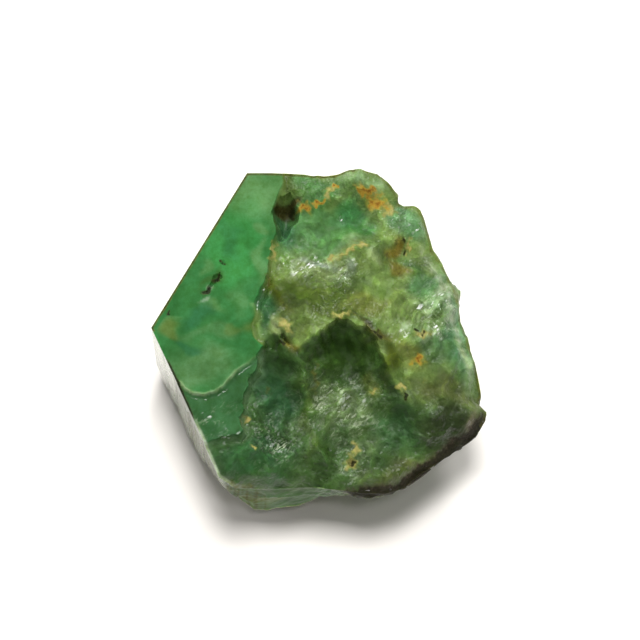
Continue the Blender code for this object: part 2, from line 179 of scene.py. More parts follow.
@dataclass(frozen=True)
class Outline:
    """A closed line on the top, with how much the real edge strays from it."""

    points: Points
    stray: float = 1.0

    def nearest(self, x: np.ndarray, y: np.ndarray) -> tuple[np.ndarray, np.ndarray, np.ndarray]:
        """The nearest points of the line.

        Args:
            x: places to the right.
            y: places to the back.

        Returns:
            The nearest points, and how far inside the line each place lies (+ is inside).
        """
        reach = np.full(x.shape, np.inf)
        near_x, near_y = x.copy(), y.copy()
        crossings = np.zeros(x.shape, int)
        for (x0, y0), (x1, y1) in zip(self.points, (*self.points[1:], self.points[0])):
            run_x, run_y = x1 - x0, y1 - y0
            along = ((x - x0) * run_x + (y - y0) * run_y) / (run_x**2 + run_y**2)
            along = np.clip(along, 0.0, 1.0)
            foot_x, foot_y = x0 + along * run_x, y0 + along * run_y
            gap = np.hypot(x - foot_x, y - foot_y)
            near_x, near_y = np.where(gap < reach, (foot_x, foot_y), (near_x, near_y))
            reach = np.minimum(reach, gap)
            rise = run_y if run_y != 0.0 else 1.0
            crossings += ((y0 > y) != (y1 > y)) & (x < x0 + (y - y0) * run_x / rise)
        return near_x, near_y, np.where(crossings % 2 == 1, reach, -reach)

    def inside(self, x: np.ndarray, y: np.ndarray) -> np.ndarray:
        """How far places lie inside the straying edge."""
        shift_x, shift_y = wander(x, y, self.stray)
        return self.nearest(x + shift_x, y + shift_y)[2]

    def draw_in(self, x: np.ndarray, y: np.ndarray, reach: float) -> np.ndarray:
        """Places beside the edge moved onto it, so that a mesh follows the edge.

        Args:
            x: places to the right.
            y: places to the back.
            reach: how near the edge a place is moved.

        Returns:
            The places to the right and to the back.
        """
        shift_x, shift_y = wander(x, y, self.stray)
        near_x, near_y, inside = self.nearest(x + shift_x, y + shift_y)
        return np.where(np.abs(inside) < reach, (near_x - shift_x, near_y - shift_y), (x, y))


@dataclass(frozen=True)
class SpotSheet:
    """A smooth sheet through spot heights: a thin-plate spline."""

    spots: Rows

    def height(self, x: np.ndarray, y: np.ndarray) -> np.ndarray:
        """The height of the sheet at places on the plan.

        Args:
            x: places to the right.
            y: places to the back.

        Returns:
            The height at each place.
        """

        def bend(distance: np.ndarray) -> np.ndarray:
            """The spline's own curve."""
            return distance**2 * np.log(np.maximum(distance, 1e-9))

        spots = np.array(self.spots)
        count = len(spots)
        gaps = np.hypot(*(spots[:, None, :2] - spots[None, :, :2]).transpose(2, 0, 1))
        plane = np.column_stack((np.ones(count), spots[:, :2]))
        system = np.zeros((count + 3, count + 3))
        system[:count, :count] = bend(gaps)
        system[:count, count:] = plane
        system[count:, :count] = plane.T
        weights = np.linalg.solve(system, np.append(spots[:, 2], np.zeros(3)))
        height = weights[count] + weights[count + 1] * x + weights[count + 2] * y
        for (spot_x, spot_y, _), weight in zip(spots, weights):
            height = height + weight * bend(np.hypot(x - spot_x, y - spot_y))
        return height


@dataclass(frozen=True)
class Spot:
    """A soft oval on the plan: its middle, half length, half width and turn in degrees."""

    x: float
    y: float
    half_length: float
    half_width: float
    turn: float = 0.0

    def share(self, x: np.ndarray, y: np.ndarray) -> np.ndarray:
        """One in the middle, falling off evenly to nought.

        Args:
            x: places to the right.
            y: places to the back.

        Returns:
            The share of each place.
        """
        cos, sin = math.cos(math.radians(self.turn)), math.sin(math.radians(self.turn))
        along = (x - self.x) * cos + (y - self.y) * sin
        across = (y - self.y) * cos - (x - self.x) * sin
        return np.exp(-((along / self.half_length) ** 2) - (across / self.half_width) ** 2)


def spots(*rows: tuple[float, ...]) -> tuple[Spot, ...]:
    """Ovals from rows of middle, half length, half width and turn."""
    return tuple(Spot(*row) for row in rows)


@dataclass(frozen=True)
class Lump:
    """A rounded rise on the break, or a hollow where the height is negative."""

    spot: Spot
    height: float


@dataclass(frozen=True)
class Plate:
    """A flat piece of the basal facet that is left on the break."""

    outline: Outline
    drop: float
    rise_back: float

    def level(self, y: np.ndarray) -> np.ndarray:
        """The height of the plate against the basal facet."""
        return -self.drop + self.rise_back * y


@dataclass(frozen=True)
class Pit:
    """A steep-walled hole with a ragged outline."""

    outline: Outline
    depth: float
    slope: float

    def relief(self, x: np.ndarray, y: np.ndarray) -> np.ndarray:
        """The height that the hole takes away, as a negative number."""
        return -self.depth * crisp_step(self.outline.inside(x, y) / self.slope)


@dataclass(frozen=True)
class Hackle:
    """Ridges side by side, each steep on one side, fading out around a middle."""

    x: float
    y: float
    reach: float
    turn: float
    spacing: float
    height: float
    flank: float = 0.7  # share of a ridge that its gentle side takes up
    waves: Rows = ((0.35, 1.3, 0.0), (0.2, 2.9, 1.0))  # reach, rate and start along a ridge

    def relief(self, x: np.ndarray, y: np.ndarray) -> np.ndarray:
        """The height that the ridges add.

        Args:
            x: places to the right.
            y: places to the back.

        Returns:
            The height at each place.
        """
        off_x, off_y = x - self.x, y - self.y
        turn = math.radians(self.turn)
        along = off_x * math.cos(turn) + off_y * math.sin(turn)
        across = off_y * math.cos(turn) - off_x * math.sin(turn)
        for reach, rate, start in self.waves:
            across = across + reach * np.sin(along * rate + start)
        phase = (across / self.spacing) % 1.0
        gentle, steep = phase / self.flank, (1.0 - phase) / (1.0 - self.flank)
        saw = np.where(phase < self.flank, gentle, steep)
        fade = np.exp(-((off_x**2 + off_y**2) / self.reach**2))
        return self.height * (saw - 0.5) * fade


@dataclass(frozen=True)
class BrokenTop:
    """The rough top: two levels with a steep wall between, and two flat plates of the facet."""

    facet_height: float = 14.0
    ledge_slope: float = 0.4
    wall: float = 2.6
    painted_shade_reach: Span = (0.5, 3.4)  # from the lip: full painted shade, and none
    painted_shade_back: Span = (-5.5, -1.5)  # only the lip at the back has the painted shade
    lip_edge: Span = (-0.1, 0.3)
    plate_edge: Span = (-0.8, 0.0)
    step_flatness: float = 0.85
    shoulder: float = 4.0
    shoulder_from: float = 5.6
    shoulder_to: float = 8.6
    edge_reach: float = 0.068
    facet: Plate = Plate(
        Outline(
            (
                (-2.8, 14.8), (-2.9, 12.9), (-3.6, 11.1), (-3.5, 9.9), (-3.3, 9.0), (-3.7, 8.1),
                (-4.0, 5.9), (-4.2, 5.0), (-4.6, 4.4), (-5.0, 3.4), (-4.9, 2.5), (-5.3, 1.4),
                (-5.1, 0.4), (-4.4, -0.2), (-4.7, -0.9), (-5.4, -1.5), (-6.1, -2.0),
                (-6.7, -2.6), (-7.0, -2.9), (-7.4, -3.5), (-8.0, -3.9), (-8.9, -4.1),
                (-9.7, -4.0), (-10.3, -3.7), (-10.7, -3.1), (-11.9, -3.4), (-14.6, 1.2),
                (-6.1, 15.6),
            ),
            stray=0.3,
        ),
        drop=0.0,
        rise_back=0.0,
    )
    step: Plate = Plate(
        Outline(
            (
                (-4.7, -0.9), (-4.8, -2.0), (-5.3, -2.8), (-5.6, -3.6), (-5.8, -4.4),
                (-5.8, -5.2), (-6.1, -6.0), (-5.8, -6.8), (-6.2, -7.1), (-7.2, -7.4),
                (-8.1, -7.6), (-8.7, -7.7), (-10.0, -8.1), (-14.0, -2.9), (-9.2, 0.8),
            ),
            stray=0.8,
        ),
        drop=0.02,
        rise_back=0.075,
    )
    hollow: Outline = Outline(
        (
            (-4.4, 0.0), (-3.7, 0.7), (-2.7, 0.9), (-2.2, 0.0), (-1.7, -0.5), (-1.0, 0.2),
            (-0.2, 0.7), (0.5, 1.3), (1.3, 1.8), (2.3, 1.9), (3.3, 1.5), (4.1, 1.0), (4.7, 0.6),
            (4.9, -0.5), (5.1, -1.2), (5.5, -2.0), (6.1, -2.6), (6.7, -3.7), (8.7, -3.9),
            (10.3, -3.9), (14.2, -4.3), (16.0, -16.0), (-16.0, -16.0), (-14.0, -4.0),
        )
    )
    upper: SpotSheet = SpotSheet(
        (
            (-1.2, 13.4, -0.1), (2.5, 12.7, 0.2), (5.6, 11.7, -0.4), (7.6, 10.6, -1.0),
            (8.7, 7.9, -1.6), (10.7, 4.1, -2.2), (12.2, -1.4, -2.8), (12.6, -3.7, -3.2),
            (-2.6, 7.7, -0.7), (0.5, 9.0, -1.2), (3.3, 10.6, -0.9), (4.0, 8.4, -0.4),
            (2.1, 7.2, -0.4), (-1.4, 6.3, -1.1), (1.7, 6.0, -1.0), (-1.4, 3.5, -0.2),
            (1.7, 3.5, -0.1), (-2.2, 1.1, -0.2), (2.1, 2.2, 0.1), (4.8, 3.6, -0.5),
            (4.8, 1.1, -0.3), (6.4, 2.1, -0.8), (8.7, 1.4, -1.4), (6.4, -1.1, -1.2),
            (9.5, -1.7, -1.9), (7.2, -2.9, -1.9), (-9.0, 5.0, 0.0), (-6.0, 11.0, 0.0),
        )
    )
    lower: SpotSheet = SpotSheet(
        (
            (2.1, 1.4, -2.6), (0.9, 0.1, -2.5), (-1.4, -1.1, -1.7), (-3.3, -0.1, -1.6),
            (-4.1, -1.9, -1.6), (-3.0, -4.0, -2.3), (0.9, -3.1, -2.8), (4.0, -2.3, -2.6),
            (5.6, -3.5, -2.6), (2.5, -6.2, -3.1), (6.4, -6.9, -3.4), (-1.4, -7.1, -2.6),
            (-4.5, -7.2, -2.4), (-6.5, -8.8, -2.0), (-3.0, -9.8, -3.1), (0.9, -10.2, -3.4),
            (5.6, -10.1, -4.1), (8.7, -7.9, -4.1), (11.1, -5.9, -4.0), (10.3, -4.5, -3.2),
            (-8.0, -8.6, -1.5),
        )
    )
    lumps: tuple[Lump, ...] = (
        Lump(Spot(0.7, 8.9, 2.4, 1.8), -0.35),  # the bowl at the back
        Lump(Spot(2.7, 10.2, 1.2, 0.9, 20), -0.35),  # and its deeper end
        Lump(Spot(2.1, 7.4, 2.6, 0.45, 26), 0.45),  # the ridge in front of the bowl
        Lump(Spot(6.4, 7.9, 0.9, 0.7, 60), -0.7),  # the pocket by the right edge
        Lump(Spot(7.3, 10.0, 1.2, 1.2), 0.35),  # the lobe behind it
        Lump(Spot(3.4, 13.2, 1.5, 0.6), 0.3),  # the bump on the back edge
        Lump(Spot(-2.4, 0.3, 1.4, 0.22, -52), -0.8),  # the crack in the lip
        Lump(Spot(5.4, -1.5, 1.2, 0.6, -65), 0.3),  # the lobe that hangs from the lip
        Lump(Spot(-0.9, -3.6, 2.8, 0.5, -82), 0.5),  # the rib down the hollow
        Lump(Spot(0.4, -8.2, 2.0, 0.4, -68), 0.35),  # and its lower end
        Lump(Spot(2.1, 0.5, 1.3, 0.9), -0.4),  # the deepest part, under the lip
        Lump(Spot(2.6, -8.7, 0.28, 0.28), -0.6),  # the round pit in the front
        Lump(Spot(-7.5, 6.5, 0.17, 0.17), -0.25),  # the round pit in the facet
        Lump(Spot(-3.9, 5.1, 1.2, 0.18, 80), -0.3),  # the groove along the facet
    )
    pits: tuple[Pit, ...] = (
        Pit(  # the notch beside the facet
            Outline(
                (
                    (-3.6, 10.8), (-3.3, 11.5), (-2.9, 12.1), (-2.2, 12.3), (-1.7, 11.9),
                    (-1.5, 11.3), (-1.4, 10.8), (-1.7, 10.1), (-2.2, 9.3), (-2.8, 8.5),
                    (-3.2, 8.6), (-3.4, 9.7),
                ),
                stray=0.8,
            ),
            depth=1.3,
            slope=0.9,
        ),
        Pit(  # the long pit in the facet
            Outline(
                (
                    (-8.9, 3.9), (-8.7, 4.5), (-8.3, 4.8), (-8.2, 5.3), (-7.7, 5.7), (-7.5, 5.4),
                    (-7.8, 4.9), (-8.3, 4.3),
                ),
                stray=0.8,
            ),
            depth=0.4,
            slope=0.25,
        ),
    )
    hackles: tuple[Hackle, ...] = (
        Hackle(9.2, 2.6, reach=3.2, turn=50, spacing=1.15, height=0.34),
        Hackle(9.0, 3.0, reach=3.6, turn=44, spacing=0.55, height=0.13),
        Hackle(1.7, -4.6, reach=2.2, turn=52, spacing=0.9, height=0.14),
        Hackle(-3.4, -7.4, reach=1.6, turn=-35, spacing=0.5, height=0.14),
        Hackle(0.6, 6.1, reach=2.2, turn=18, spacing=0.55, height=0.14),
    )

    def height(self, x: np.ndarray, y: np.ndarray) -> np.ndarray:
        """The height of the top over the rest face.

        Args:
            x: places to the right.
            y: places to the back.

        Returns:
            The height at each place.
        """
        relief = sum(hackle.relief(x, y) for hackle in self.hackles)
        upper = self.upper.height(x, y) + relief
        lower = self.lower.height(x, y) + relief
        wall = self.wall + (self.shoulder - self.wall) * smooth_step(
            x, self.shoulder_from, self.shoulder_to
        )
        height = upper + (lower - upper) * crisp_step(self.hollow.inside(x, y) / wall)
        for plate in (self.step, self.facet):
            level = plate.level(y)
            off_plate = crisp_step(-plate.outline.inside(x, y) / self.ledge_slope)
            height = level + (height - level) * off_plate
        for lump in self.lumps:
            height = height + lump.height * lump.spot.share(x, y)
        for pit in self.pits:
            height = height + pit.relief(x, y)
        return self.facet_height + height

    def painted_lip_shade(self, x: np.ndarray, y: np.ndarray) -> np.ndarray:
        """Painted shade: one right under the lip of the hollow, fading out down the hollow."""
        under_lip = 1.0 - smooth_step(self.hollow.inside(x, y), *self.painted_shade_reach)
        return under_lip * smooth_step(y, *self.painted_shade_back)

    def lower_share(self, x: np.ndarray, y: np.ndarray) -> np.ndarray:
        """One in the hollow and nought above its lip."""
        gentle = 1.0 + self.shoulder * smooth_step(x, self.shoulder_from, self.shoulder_to)
        return smooth_step(self.hollow.inside(x, y) / gentle, *self.lip_edge)

    def flatness(self, x: np.ndarray, y: np.ndarray) -> np.ndarray:
        """One on a flat plate of the top and nought on the rough break.

        Args:
            x: places to the right.
            y: places to the back.

        Returns:
            The share of each place.
        """
        facet = smooth_step(self.facet.outline.inside(x, y), *self.plate_edge)
        step = smooth_step(self.step.outline.inside(x, y), *self.plate_edge)
        return np.maximum(facet, self.step_flatness * step)

    def draw_to_edges(self, x: np.ndarray, y: np.ndarray) -> tuple[np.ndarray, np.ndarray]:
        """Places beside an edge of the break moved onto it.

        Args:
            x: places to the right.
            y: places to the back.

        Returns:
            The places to the right and to the back.
        """
        pits = tuple(pit.outline for pit in self.pits)
        for outline in (self.hollow, *pits, self.step.outline, self.facet.outline):
            x, y = outline.draw_in(x, y, self.edge_reach)
        return x, y


# ------------------------------------------------------------
# Colours of the stone
# ------------------------------------------------------------


class Tint(Enum):
    """The colours that the beryl has from place to place, and some painted light and shade, as sRGB
    hex values.
    """

    UPPER = "#667f41"
    LOWER = "#3a5727"
    FACET = "#326f39"
    FACET_PALE = "#57844f"
    FACET_DEEP = "#27603a"
    FACET_BRIGHT = "#3a8343"
    TONGUE = "#4d7848"
    STEP = "#315d33"
    DEEP_BLUE_GREEN = "#2b522f"
    FOREST = "#2b522a"
    BOWL = "#4e7b44"
    BOWL_DEEP = "#427d45"
    MILKY = "#879a66"
    YELLOW_GREEN = "#4a5e22"
    OLIVE = "#3e5018"
    OCHRE_GREEN = "#687433"
    SPRING = "#5f7946"
    SPRING_DEEP = "#46663a"
    PALE_SPRING = "#9ab387"
    BLUE_GREEN = "#4d764b"
    # dark green of the hollow; under the lip it is also painted shade
    HOLLOW_GREEN_AND_SHADE = "#2a4417"
    VEIL = "#667c4e"
    BROWN_GREEN = "#243013"
    UMBER = "#4c5529"
    LOBE = "#376428"
    OLIVE_LOBE = "#46530f"
    # pale frost that also paints the white floor's reflection in the prism faces
    FROST_AND_REFLECTION = "#b2bda4"
    # painted grey reflection: the floor's shadow in the prism faces, and a sheen on the mica band
    PAINTED_GREY_REFLECTION = "#62634a"
    EDGE_PALE = "#7a9766"
    TEAL = "#3d6c45"
    PALE_BLUISH_WHITE = "#93a690"
    PIT_BROWN = "#3f3f1c"
    # painted light on the shaded wall beside the lower plate
    LEDGE_WALL_LIGHT = "#6d9166"
    # pale grey: the painted highlight along the lower left edge, and the pale line inside the
    # right-hand rim
    RIM_HAZE = "#b3bda4"
    POCKET = "#746a25"

    @property
    def colour(self) -> np.ndarray:
        """The tint as linear red, green and blue."""
        return np.array(linear(self.value))


@dataclass(frozen=True)
class Patch:
    """A soft patch of one tint on the top."""

    tint: Tint
    spot: Spot
    strength: float


def patches(*rows: tuple[Any, ...]) -> tuple[Patch, ...]:
    """Patches from rows of tint, strength, and the middle, sizes and turn of an oval."""
    return tuple(Patch(tint, Spot(*oval), strength) for tint, strength, *oval in rows)


@dataclass(frozen=True)
class StoneColours:
    """Where the stone is which green, with some painted light and shade, and where stains, clay, dark
    pits and veils lie.
    """

    waviness: float = 0.4
    raggedness: float = 0.13
    patch_edge: Span = (0.1, 0.8)
    # strength of the painted shade under the lip
    painted_lip_shade: float = 0.8
    upper_patches: tuple[Patch, ...] = patches(
        (Tint.BOWL, 1.0, 0.2, 9.8, 3.8, 3.0), (Tint.BOWL_DEEP, 1.0, 2.9, 10.3, 1.5, 1.2),
        (Tint.BLUE_GREEN, 1.0, 11.0, 1.4, 1.0, 5.0, 15),
        (Tint.BLUE_GREEN, 1.0, 8.7, 5.1, 1.6, 1.3), (Tint.BLUE_GREEN, 1.0, 9.9, 3.2, 1.0, 1.2),
        (Tint.TEAL, 1.0, 10.2, 0.0, 0.9, 1.6, 10),
        (Tint.EDGE_PALE, 0.9, 11.8, -1.4, 0.5, 2.4, 10),
        (Tint.OCHRE_GREEN, 0.85, 7.6, -0.6, 1.7, 1.0, 10), (Tint.SPRING, 0.8, 8.6, 3.0, 1.6, 3.0),
        (Tint.SPRING_DEEP, 0.8, 9.2, 0.2, 1.6, 1.8),
        # the pale spring patches on this line and the next are pale green that also paints the glints
        # of the right-hand ridges
        (Tint.PALE_SPRING, 0.8, 9.3, 3.9, 1.9, 0.6, 45),
        (Tint.PALE_SPRING, 0.9, 6.9, 1.3, 0.6, 0.45, 35),
        (Tint.BLUE_GREEN, 0.9, 7.0, 10.2, 1.7, 1.6),
        (Tint.PALE_SPRING, 0.3, 2.6, 8.6, 1.6, 0.4, 24),
        (Tint.MILKY, 0.8, 2.3, 7.6, 1.9, 0.5, 24), (Tint.UMBER, 0.8, 9.9, -3.2, 2.8, 1.1, -5),
        (Tint.EDGE_PALE, 1.0, 3.3, 13.3, 2.0, 0.8), (Tint.MILKY, 0.7, 0.1, 6.2, 2.6, 0.7, 8),
        (Tint.YELLOW_GREEN, 1.0, 0.6, 3.7, 3.4, 1.8, 0),
        (Tint.OCHRE_GREEN, 0.8, 3.3, 3.2, 2.2, 0.9, 10),
        (Tint.OLIVE, 0.9, -2.4, 3.8, 1.6, 2.1, 20),
        (Tint.OLIVE_LOBE, 0.8, -3.0, 4.2, 0.45, 1.9, 20),
        (Tint.STEP, 1.0, -4.2, 2.5, 0.85, 2.3, 8), (Tint.YELLOW_GREEN, 0.7, -1.3, 0.9, 1.3, 0.9),
        (Tint.OLIVE, 0.8, 2.9, 1.9, 2.2, 0.35, -15), (Tint.OLIVE_LOBE, 0.9, 5.5, -1.0, 0.8, 1.6),
        (Tint.BOWL, 0.9, -0.4, 12.9, 1.9, 1.1), (Tint.OLIVE, 0.7, -2.3, 13.2, 0.7, 0.9),
        # the two pale bluish-white patches on this line paint the highlight of the band in front of
        # the bowl
        (Tint.PALE_BLUISH_WHITE, 0.7, 0.1, 6.75, 1.7, 0.32, 5), (Tint.PALE_BLUISH_WHITE, 0.6, 2.3, 6.0, 0.9, 0.5, 30),
        (Tint.TEAL, 1.0, -2.6, 9.9, 1.0, 1.7), (Tint.PIT_BROWN, 1.0, -2.5, 11.5, 1.2, 0.6),
        (Tint.BROWN_GREEN, 0.8, 10.2, -5.0, 2.0, 1.1, -5),
        (Tint.POCKET, 0.9, -2.2, 0.1, 0.9, 0.4, -55), (Tint.POCKET, 0.9, 6.1, 7.7, 0.6, 0.9),
        # the pale spring patch on this line is pale green that also paints a glint on the right-hand
        # ridges
        (Tint.POCKET, 0.8, 6.3, 6.1, 0.9, 0.5), (Tint.PALE_SPRING, 0.7, 8.9, 1.3, 0.7, 0.5, 30),
        (Tint.BLUE_GREEN, 0.7, 8.3, 5.4, 1.5, 0.9, -50),
        (Tint.SPRING_DEEP, 0.7, 7.4, 6.9, 0.9, 0.45), (Tint.OCHRE_GREEN, 0.6, 5.6, 3.7, 0.8, 0.5),
        (Tint.UPPER, 0.6, 1.3, 11.8, 1.0, 0.5), (Tint.PIT_BROWN, 0.9, 4.5, 1.1, 2.0, 0.5, -25),
        # the first milky patch on this line is painted light on the shaded side of the pocket
        (Tint.MILKY, 0.6, 4.7, 7.5, 0.5, 0.9), (Tint.MILKY, 0.7, -3.0, 1.6, 1.2, 0.55, -50),
        # the grey patch by the lower right edge is a painted sheen on the mica band
        (Tint.BOWL, 0.7, -0.5, 8.1, 0.9, 0.5), (Tint.PAINTED_GREY_REFLECTION, 0.8, 12.2, -4.9, 0.5, 1.0, 10),
    )
    lower_patches: tuple[Patch, ...] = patches(
        (Tint.DEEP_BLUE_GREEN, 1.0, -3.6, -3.2, 2.1, 3.2, 8),
        # the dark green patch under the lip is partly painted shade
        (Tint.FOREST, 1.0, -5.2, -8.6, 3.6, 1.9), (Tint.HOLLOW_GREEN_AND_SHADE, 1.0, 1.4, -0.5, 3.3, 2.4),
        (Tint.VEIL, 0.6, 1.7, -4.3, 2.5, 1.7, -20), (Tint.VEIL, 0.4, 3.6, -7.2, 1.4, 2.2),
        (Tint.FOREST, 0.7, 6.0, -6.2, 2.0, 1.8), (Tint.BROWN_GREEN, 0.9, 10.6, -5.4, 2.4, 1.5),
        (Tint.POCKET, 0.9, -2.2, 0.1, 0.9, 0.4, -55), (Tint.UMBER, 0.8, 7.0, -9.4, 4.0, 1.2, 20),
        (Tint.OLIVE, 1.0, 5.6, -1.6, 0.5, 1.2), (Tint.OLIVE, 0.5, -0.8, -5.6, 0.5, 3.4, 5),
        (Tint.OCHRE_GREEN, 0.7, 4.2, -2.3, 0.7, 1.0),
        (Tint.PIT_BROWN, 0.9, 4.5, 0.8, 2.0, 0.5, -25),
        (Tint.BROWN_GREEN, 0.55, 9.2, -6.8, 1.8, 1.2),
        # the grey patch by the lower right edge is a painted sheen on the mica band
        (Tint.PAINTED_GREY_REFLECTION, 0.8, 12.2, -4.9, 0.5, 1.0, 10),
    )
    facet_patches: tuple[Patch, ...] = patches(
        (Tint.FACET_PALE, 1.0, -4.4, 13.0, 3.2, 3.4),
        (Tint.FACET_BRIGHT, 1.0, -6.6, 7.8, 2.2, 3.6, -10),
        (Tint.TONGUE, 1.0, -8.9, -2.0, 3.0, 1.9), (Tint.FACET_PALE, 0.7, -4.5, 6.4, 0.5, 2.0, -4),
        (Tint.FACET_PALE, 0.8, -4.7, 9.0, 0.6, 0.5),
        (Tint.FACET_PALE, 0.8, -8.6, 2.9, 1.0, 0.5, 10),
        (Tint.FACET_PALE, 0.6, -8.9, 5.9, 0.7, 0.5, 20),
        (Tint.FACET_PALE, 0.5, -6.0, 3.6, 0.8, 1.2), (Tint.FACET_PALE, 0.9, -5.1, 2.8, 0.3, 0.3),
        (Tint.FACET_PALE, 0.6, -11.6, 1.6, 0.9, 0.3, 40),
        (Tint.FACET_DEEP, 0.7, -9.6, 2.2, 1.4, 0.8, 20),
        (Tint.PALE_BLUISH_WHITE, 0.6, -8.9, 3.4, 0.6, 0.22, 10), (Tint.PALE_BLUISH_WHITE, 0.6, -8.1, 4.1, 0.25, 0.22),
        (Tint.FACET_DEEP, 0.5, -7.0, 8.6, 0.9, 1.6, 25),
        (Tint.FACET_DEEP, 0.7, -10.4, -0.2, 1.3, 0.5, -30),
        (Tint.OLIVE, 0.4, -8.3, 5.0, 0.9, 0.35, 50), (Tint.TONGUE, 0.6, -8.0, 0.9, 3.0, 0.5, 5),
        (Tint.OCHRE_GREEN, 0.55, -11.4, 0.9, 0.8, 0.7),
        (Tint.OCHRE_GREEN, 0.6, -4.6, 1.6, 0.8, 1.1),
        (Tint.OCHRE_GREEN, 0.35, -6.4, 1.3, 0.9, 0.4),
    )
    # Round the sides: arc length from +X against height. Underneath: the plan.
    side_patches: tuple[Patch, ...] = patches(
        (Tint.UMBER, 0.8, 66.0, 4.0, 5.0, 2.6, 10),
        (Tint.OCHRE_GREEN, 0.6, 61.0, 7.0, 2.6, 1.6, -20),
        (Tint.DEEP_BLUE_GREEN, 0.7, 72.0, 8.0, 3.0, 3.0),
        (Tint.OCHRE_GREEN, 0.5, 52.0, 6.6, 3.0, 0.8, 15),
        (Tint.BOWL, 0.7, 3.0, 9.0, 4.0, 2.4, 25), (Tint.UMBER, 0.7, 9.0, 5.0, 4.0, 1.8, -15),
        (Tint.DEEP_BLUE_GREEN, 0.6, 14.0, 9.0, 3.4, 2.8),
        (Tint.OCHRE_GREEN, 0.6, 17.0, 4.0, 3.0, 1.6, 20),
        (Tint.BOWL_DEEP, 0.6, 27.0, 8.0, 4.0, 3.6, 10),
        (Tint.OCHRE_GREEN, 0.5, 33.0, 3.6, 2.4, 1.2), (Tint.FACET, 0.6, 38.0, 9.0, 2.4, 2.8),
        (Tint.TEAL, 0.6, 44.0, 7.0, 3.0, 3.0),
    )
    under_patches: tuple[Patch, ...] = patches(
        (Tint.LOBE, 0.8, -5.0, 4.0, 5.0, 3.0, 30),
        (Tint.DEEP_BLUE_GREEN, 0.7, 4.0, 6.0, 3.0, 2.4),
        (Tint.OCHRE_GREEN, 0.6, -6.0, -5.0, 3.4, 2.0, -30),
        (Tint.LOBE, 0.7, 4.0, -4.0, 4.0, 2.4, 20),
    )
    rust: tuple[Spot, ...] = spots(
        (-1.1, 11.3, 0.6, 0.45, -20), (0.1, 11.6, 0.6, 0.22, 15), (1.3, 12.8, 0.36, 0.3, -60),
        (3.9, 12.5, 1.2, 0.36, -6), (4.6, 11.7, 1.15, 0.55, -14), (7.7, -0.9, 0.62, 0.42, 15),
    )
    clay: tuple[Spot, ...] = spots(
        (5.6, 11.2, 0.7, 0.6), (1.1, 7.1, 0.55, 0.32), (2.5, 7.6, 1.3, 0.26, 24),
        (3.5, 8.1, 0.4, 0.3), (-3.5, 7.6, 1.1, 0.26, 82), (-2.5, 1.5, 1.0, 0.34, -50),
        (1.9, 2.3, 0.95, 0.28, 10), (2.6, -8.7, 0.55, 0.75), (2.96, -7.5, 0.32, 0.55),
        (-5.6, -5.8, 0.2, 0.5, 10), (-5.1, -7.9, 0.26, 0.15), (6.5, -3.1, 0.6, 0.26, -30),
        (4.4, -3.1, 0.55, 0.19, 20), (0.9, 12.4, 0.40, 0.79, -20), (8.2, 1.0, 0.8, 0.36, 10),
        (7.1, 8.2, 0.25, 0.9, -10),
    )
    dark: tuple[Spot, ...] = spots(
        (-8.6, 4.3, 0.55, 0.24, 50), (-7.9, 5.3, 0.42, 0.28, 50), (-7.5, 6.5, 0.2, 0.2),
        (-2.7, 0.2, 0.22, 0.22), (-2.1, 11.1, 0.5, 0.25), (6.9, -3.7, 0.26, 0.24),
        (4.6, 0.8, 0.5, 0.2, -25), (-11.5, 2.4, 0.13, 0.13), (2.6, -8.7, 0.3, 0.32),
        (7.7, 1.2, 0.14, 0.16), (8.3, 1.1, 0.12, 0.14), (6.85, 8.7, 0.21, 0.21),
        (6.7, 8.0, 0.14, 0.2, 60),
    )
    dirt: tuple[Spot, ...] = spots(
        (-6.0, -11.0, 1.6, 0.7), (-3.9, 5.1, 1.3, 0.22, 80), (-3.9, -3.4, 0.3, 0.45),
        (-0.2, -2.4, 0.3, 1.6), (6.0, 7.0, 1.0, 0.3, 10), (6.4, 6.0, 0.9, 0.4),
        (5.0, 0.7, 1.3, 0.35, -25), (8.4, -2.6, 0.5, 0.22, 25),
    )
    calm: tuple[Spot, ...] = spots(
        (0.9, 9.6, 2.6, 2.0), (3.9, 5.0, 0.9, 1.8, -20), (5.3, 4.7, 1.1, 1.0),
        (10.2, 0.0, 0.9, 1.5), (5.6, -1.0, 0.7, 1.4), (2.2, 0.0, 2.6, 1.7),
        (-3.4, -2.8, 1.3, 2.4), (-6.0, -9.0, 2.4, 1.1), (4.6, -5.6, 1.6, 1.4),
        (-1.6, 4.2, 1.9, 1.5), (8.4, 5.6, 1.6, 1.2), (7.2, 3.0, 1.1, 1.3),
        (8.6, -2.2, 2.2, 1.0, -10),
    )
    veils: tuple[Spot, ...] = spots(
        (1.7, -4.4, 2.7, 2.0, -20), (-3.4, -7.6, 1.5, 1.5), (-8.2, -6.2, 1.6, 0.9, 10),
        (9.6, 3.0, 1.8, 2.0), (0.2, 6.3, 2.6, 0.7), (2.4, -8.6, 0.7, 1.4),
    )
    glints: tuple[Spot, ...] = spots(
        (-2.6, 6.7, 0.4, 0.35), (-0.7, 6.5, 1.2, 0.5, 10), (2.3, 6.0, 0.85, 0.6, 30),
        (9.3, 3.7, 1.4, 0.5, 45), (8.0, 3.2, 0.6, 0.35, 40), (9.4, 1.6, 0.8, 0.45, 45),
        (6.9, 1.3, 0.6, 0.4, 40), (6.0, 10.1, 0.3, 0.3), (1.9, 10.5, 0.25, 0.25),
        (1.7, -3.9, 1.26, 0.95, 30), (3.4, -4.1, 0.40, 0.79, -30), (4.8, -3.4, 0.63, 0.24, 30),
        (-8.8, -5.8, 0.55, 0.20), (-7.3, -7.4, 1.26, 0.12, 10), (-3.3, -7.6, 1.11, 0.95, 20),
        (7.7, 9.7, 0.32, 0.24), (2.26, -7.2, 0.34, 0.4), (2.5, -10.3, 0.3, 0.22),
    )

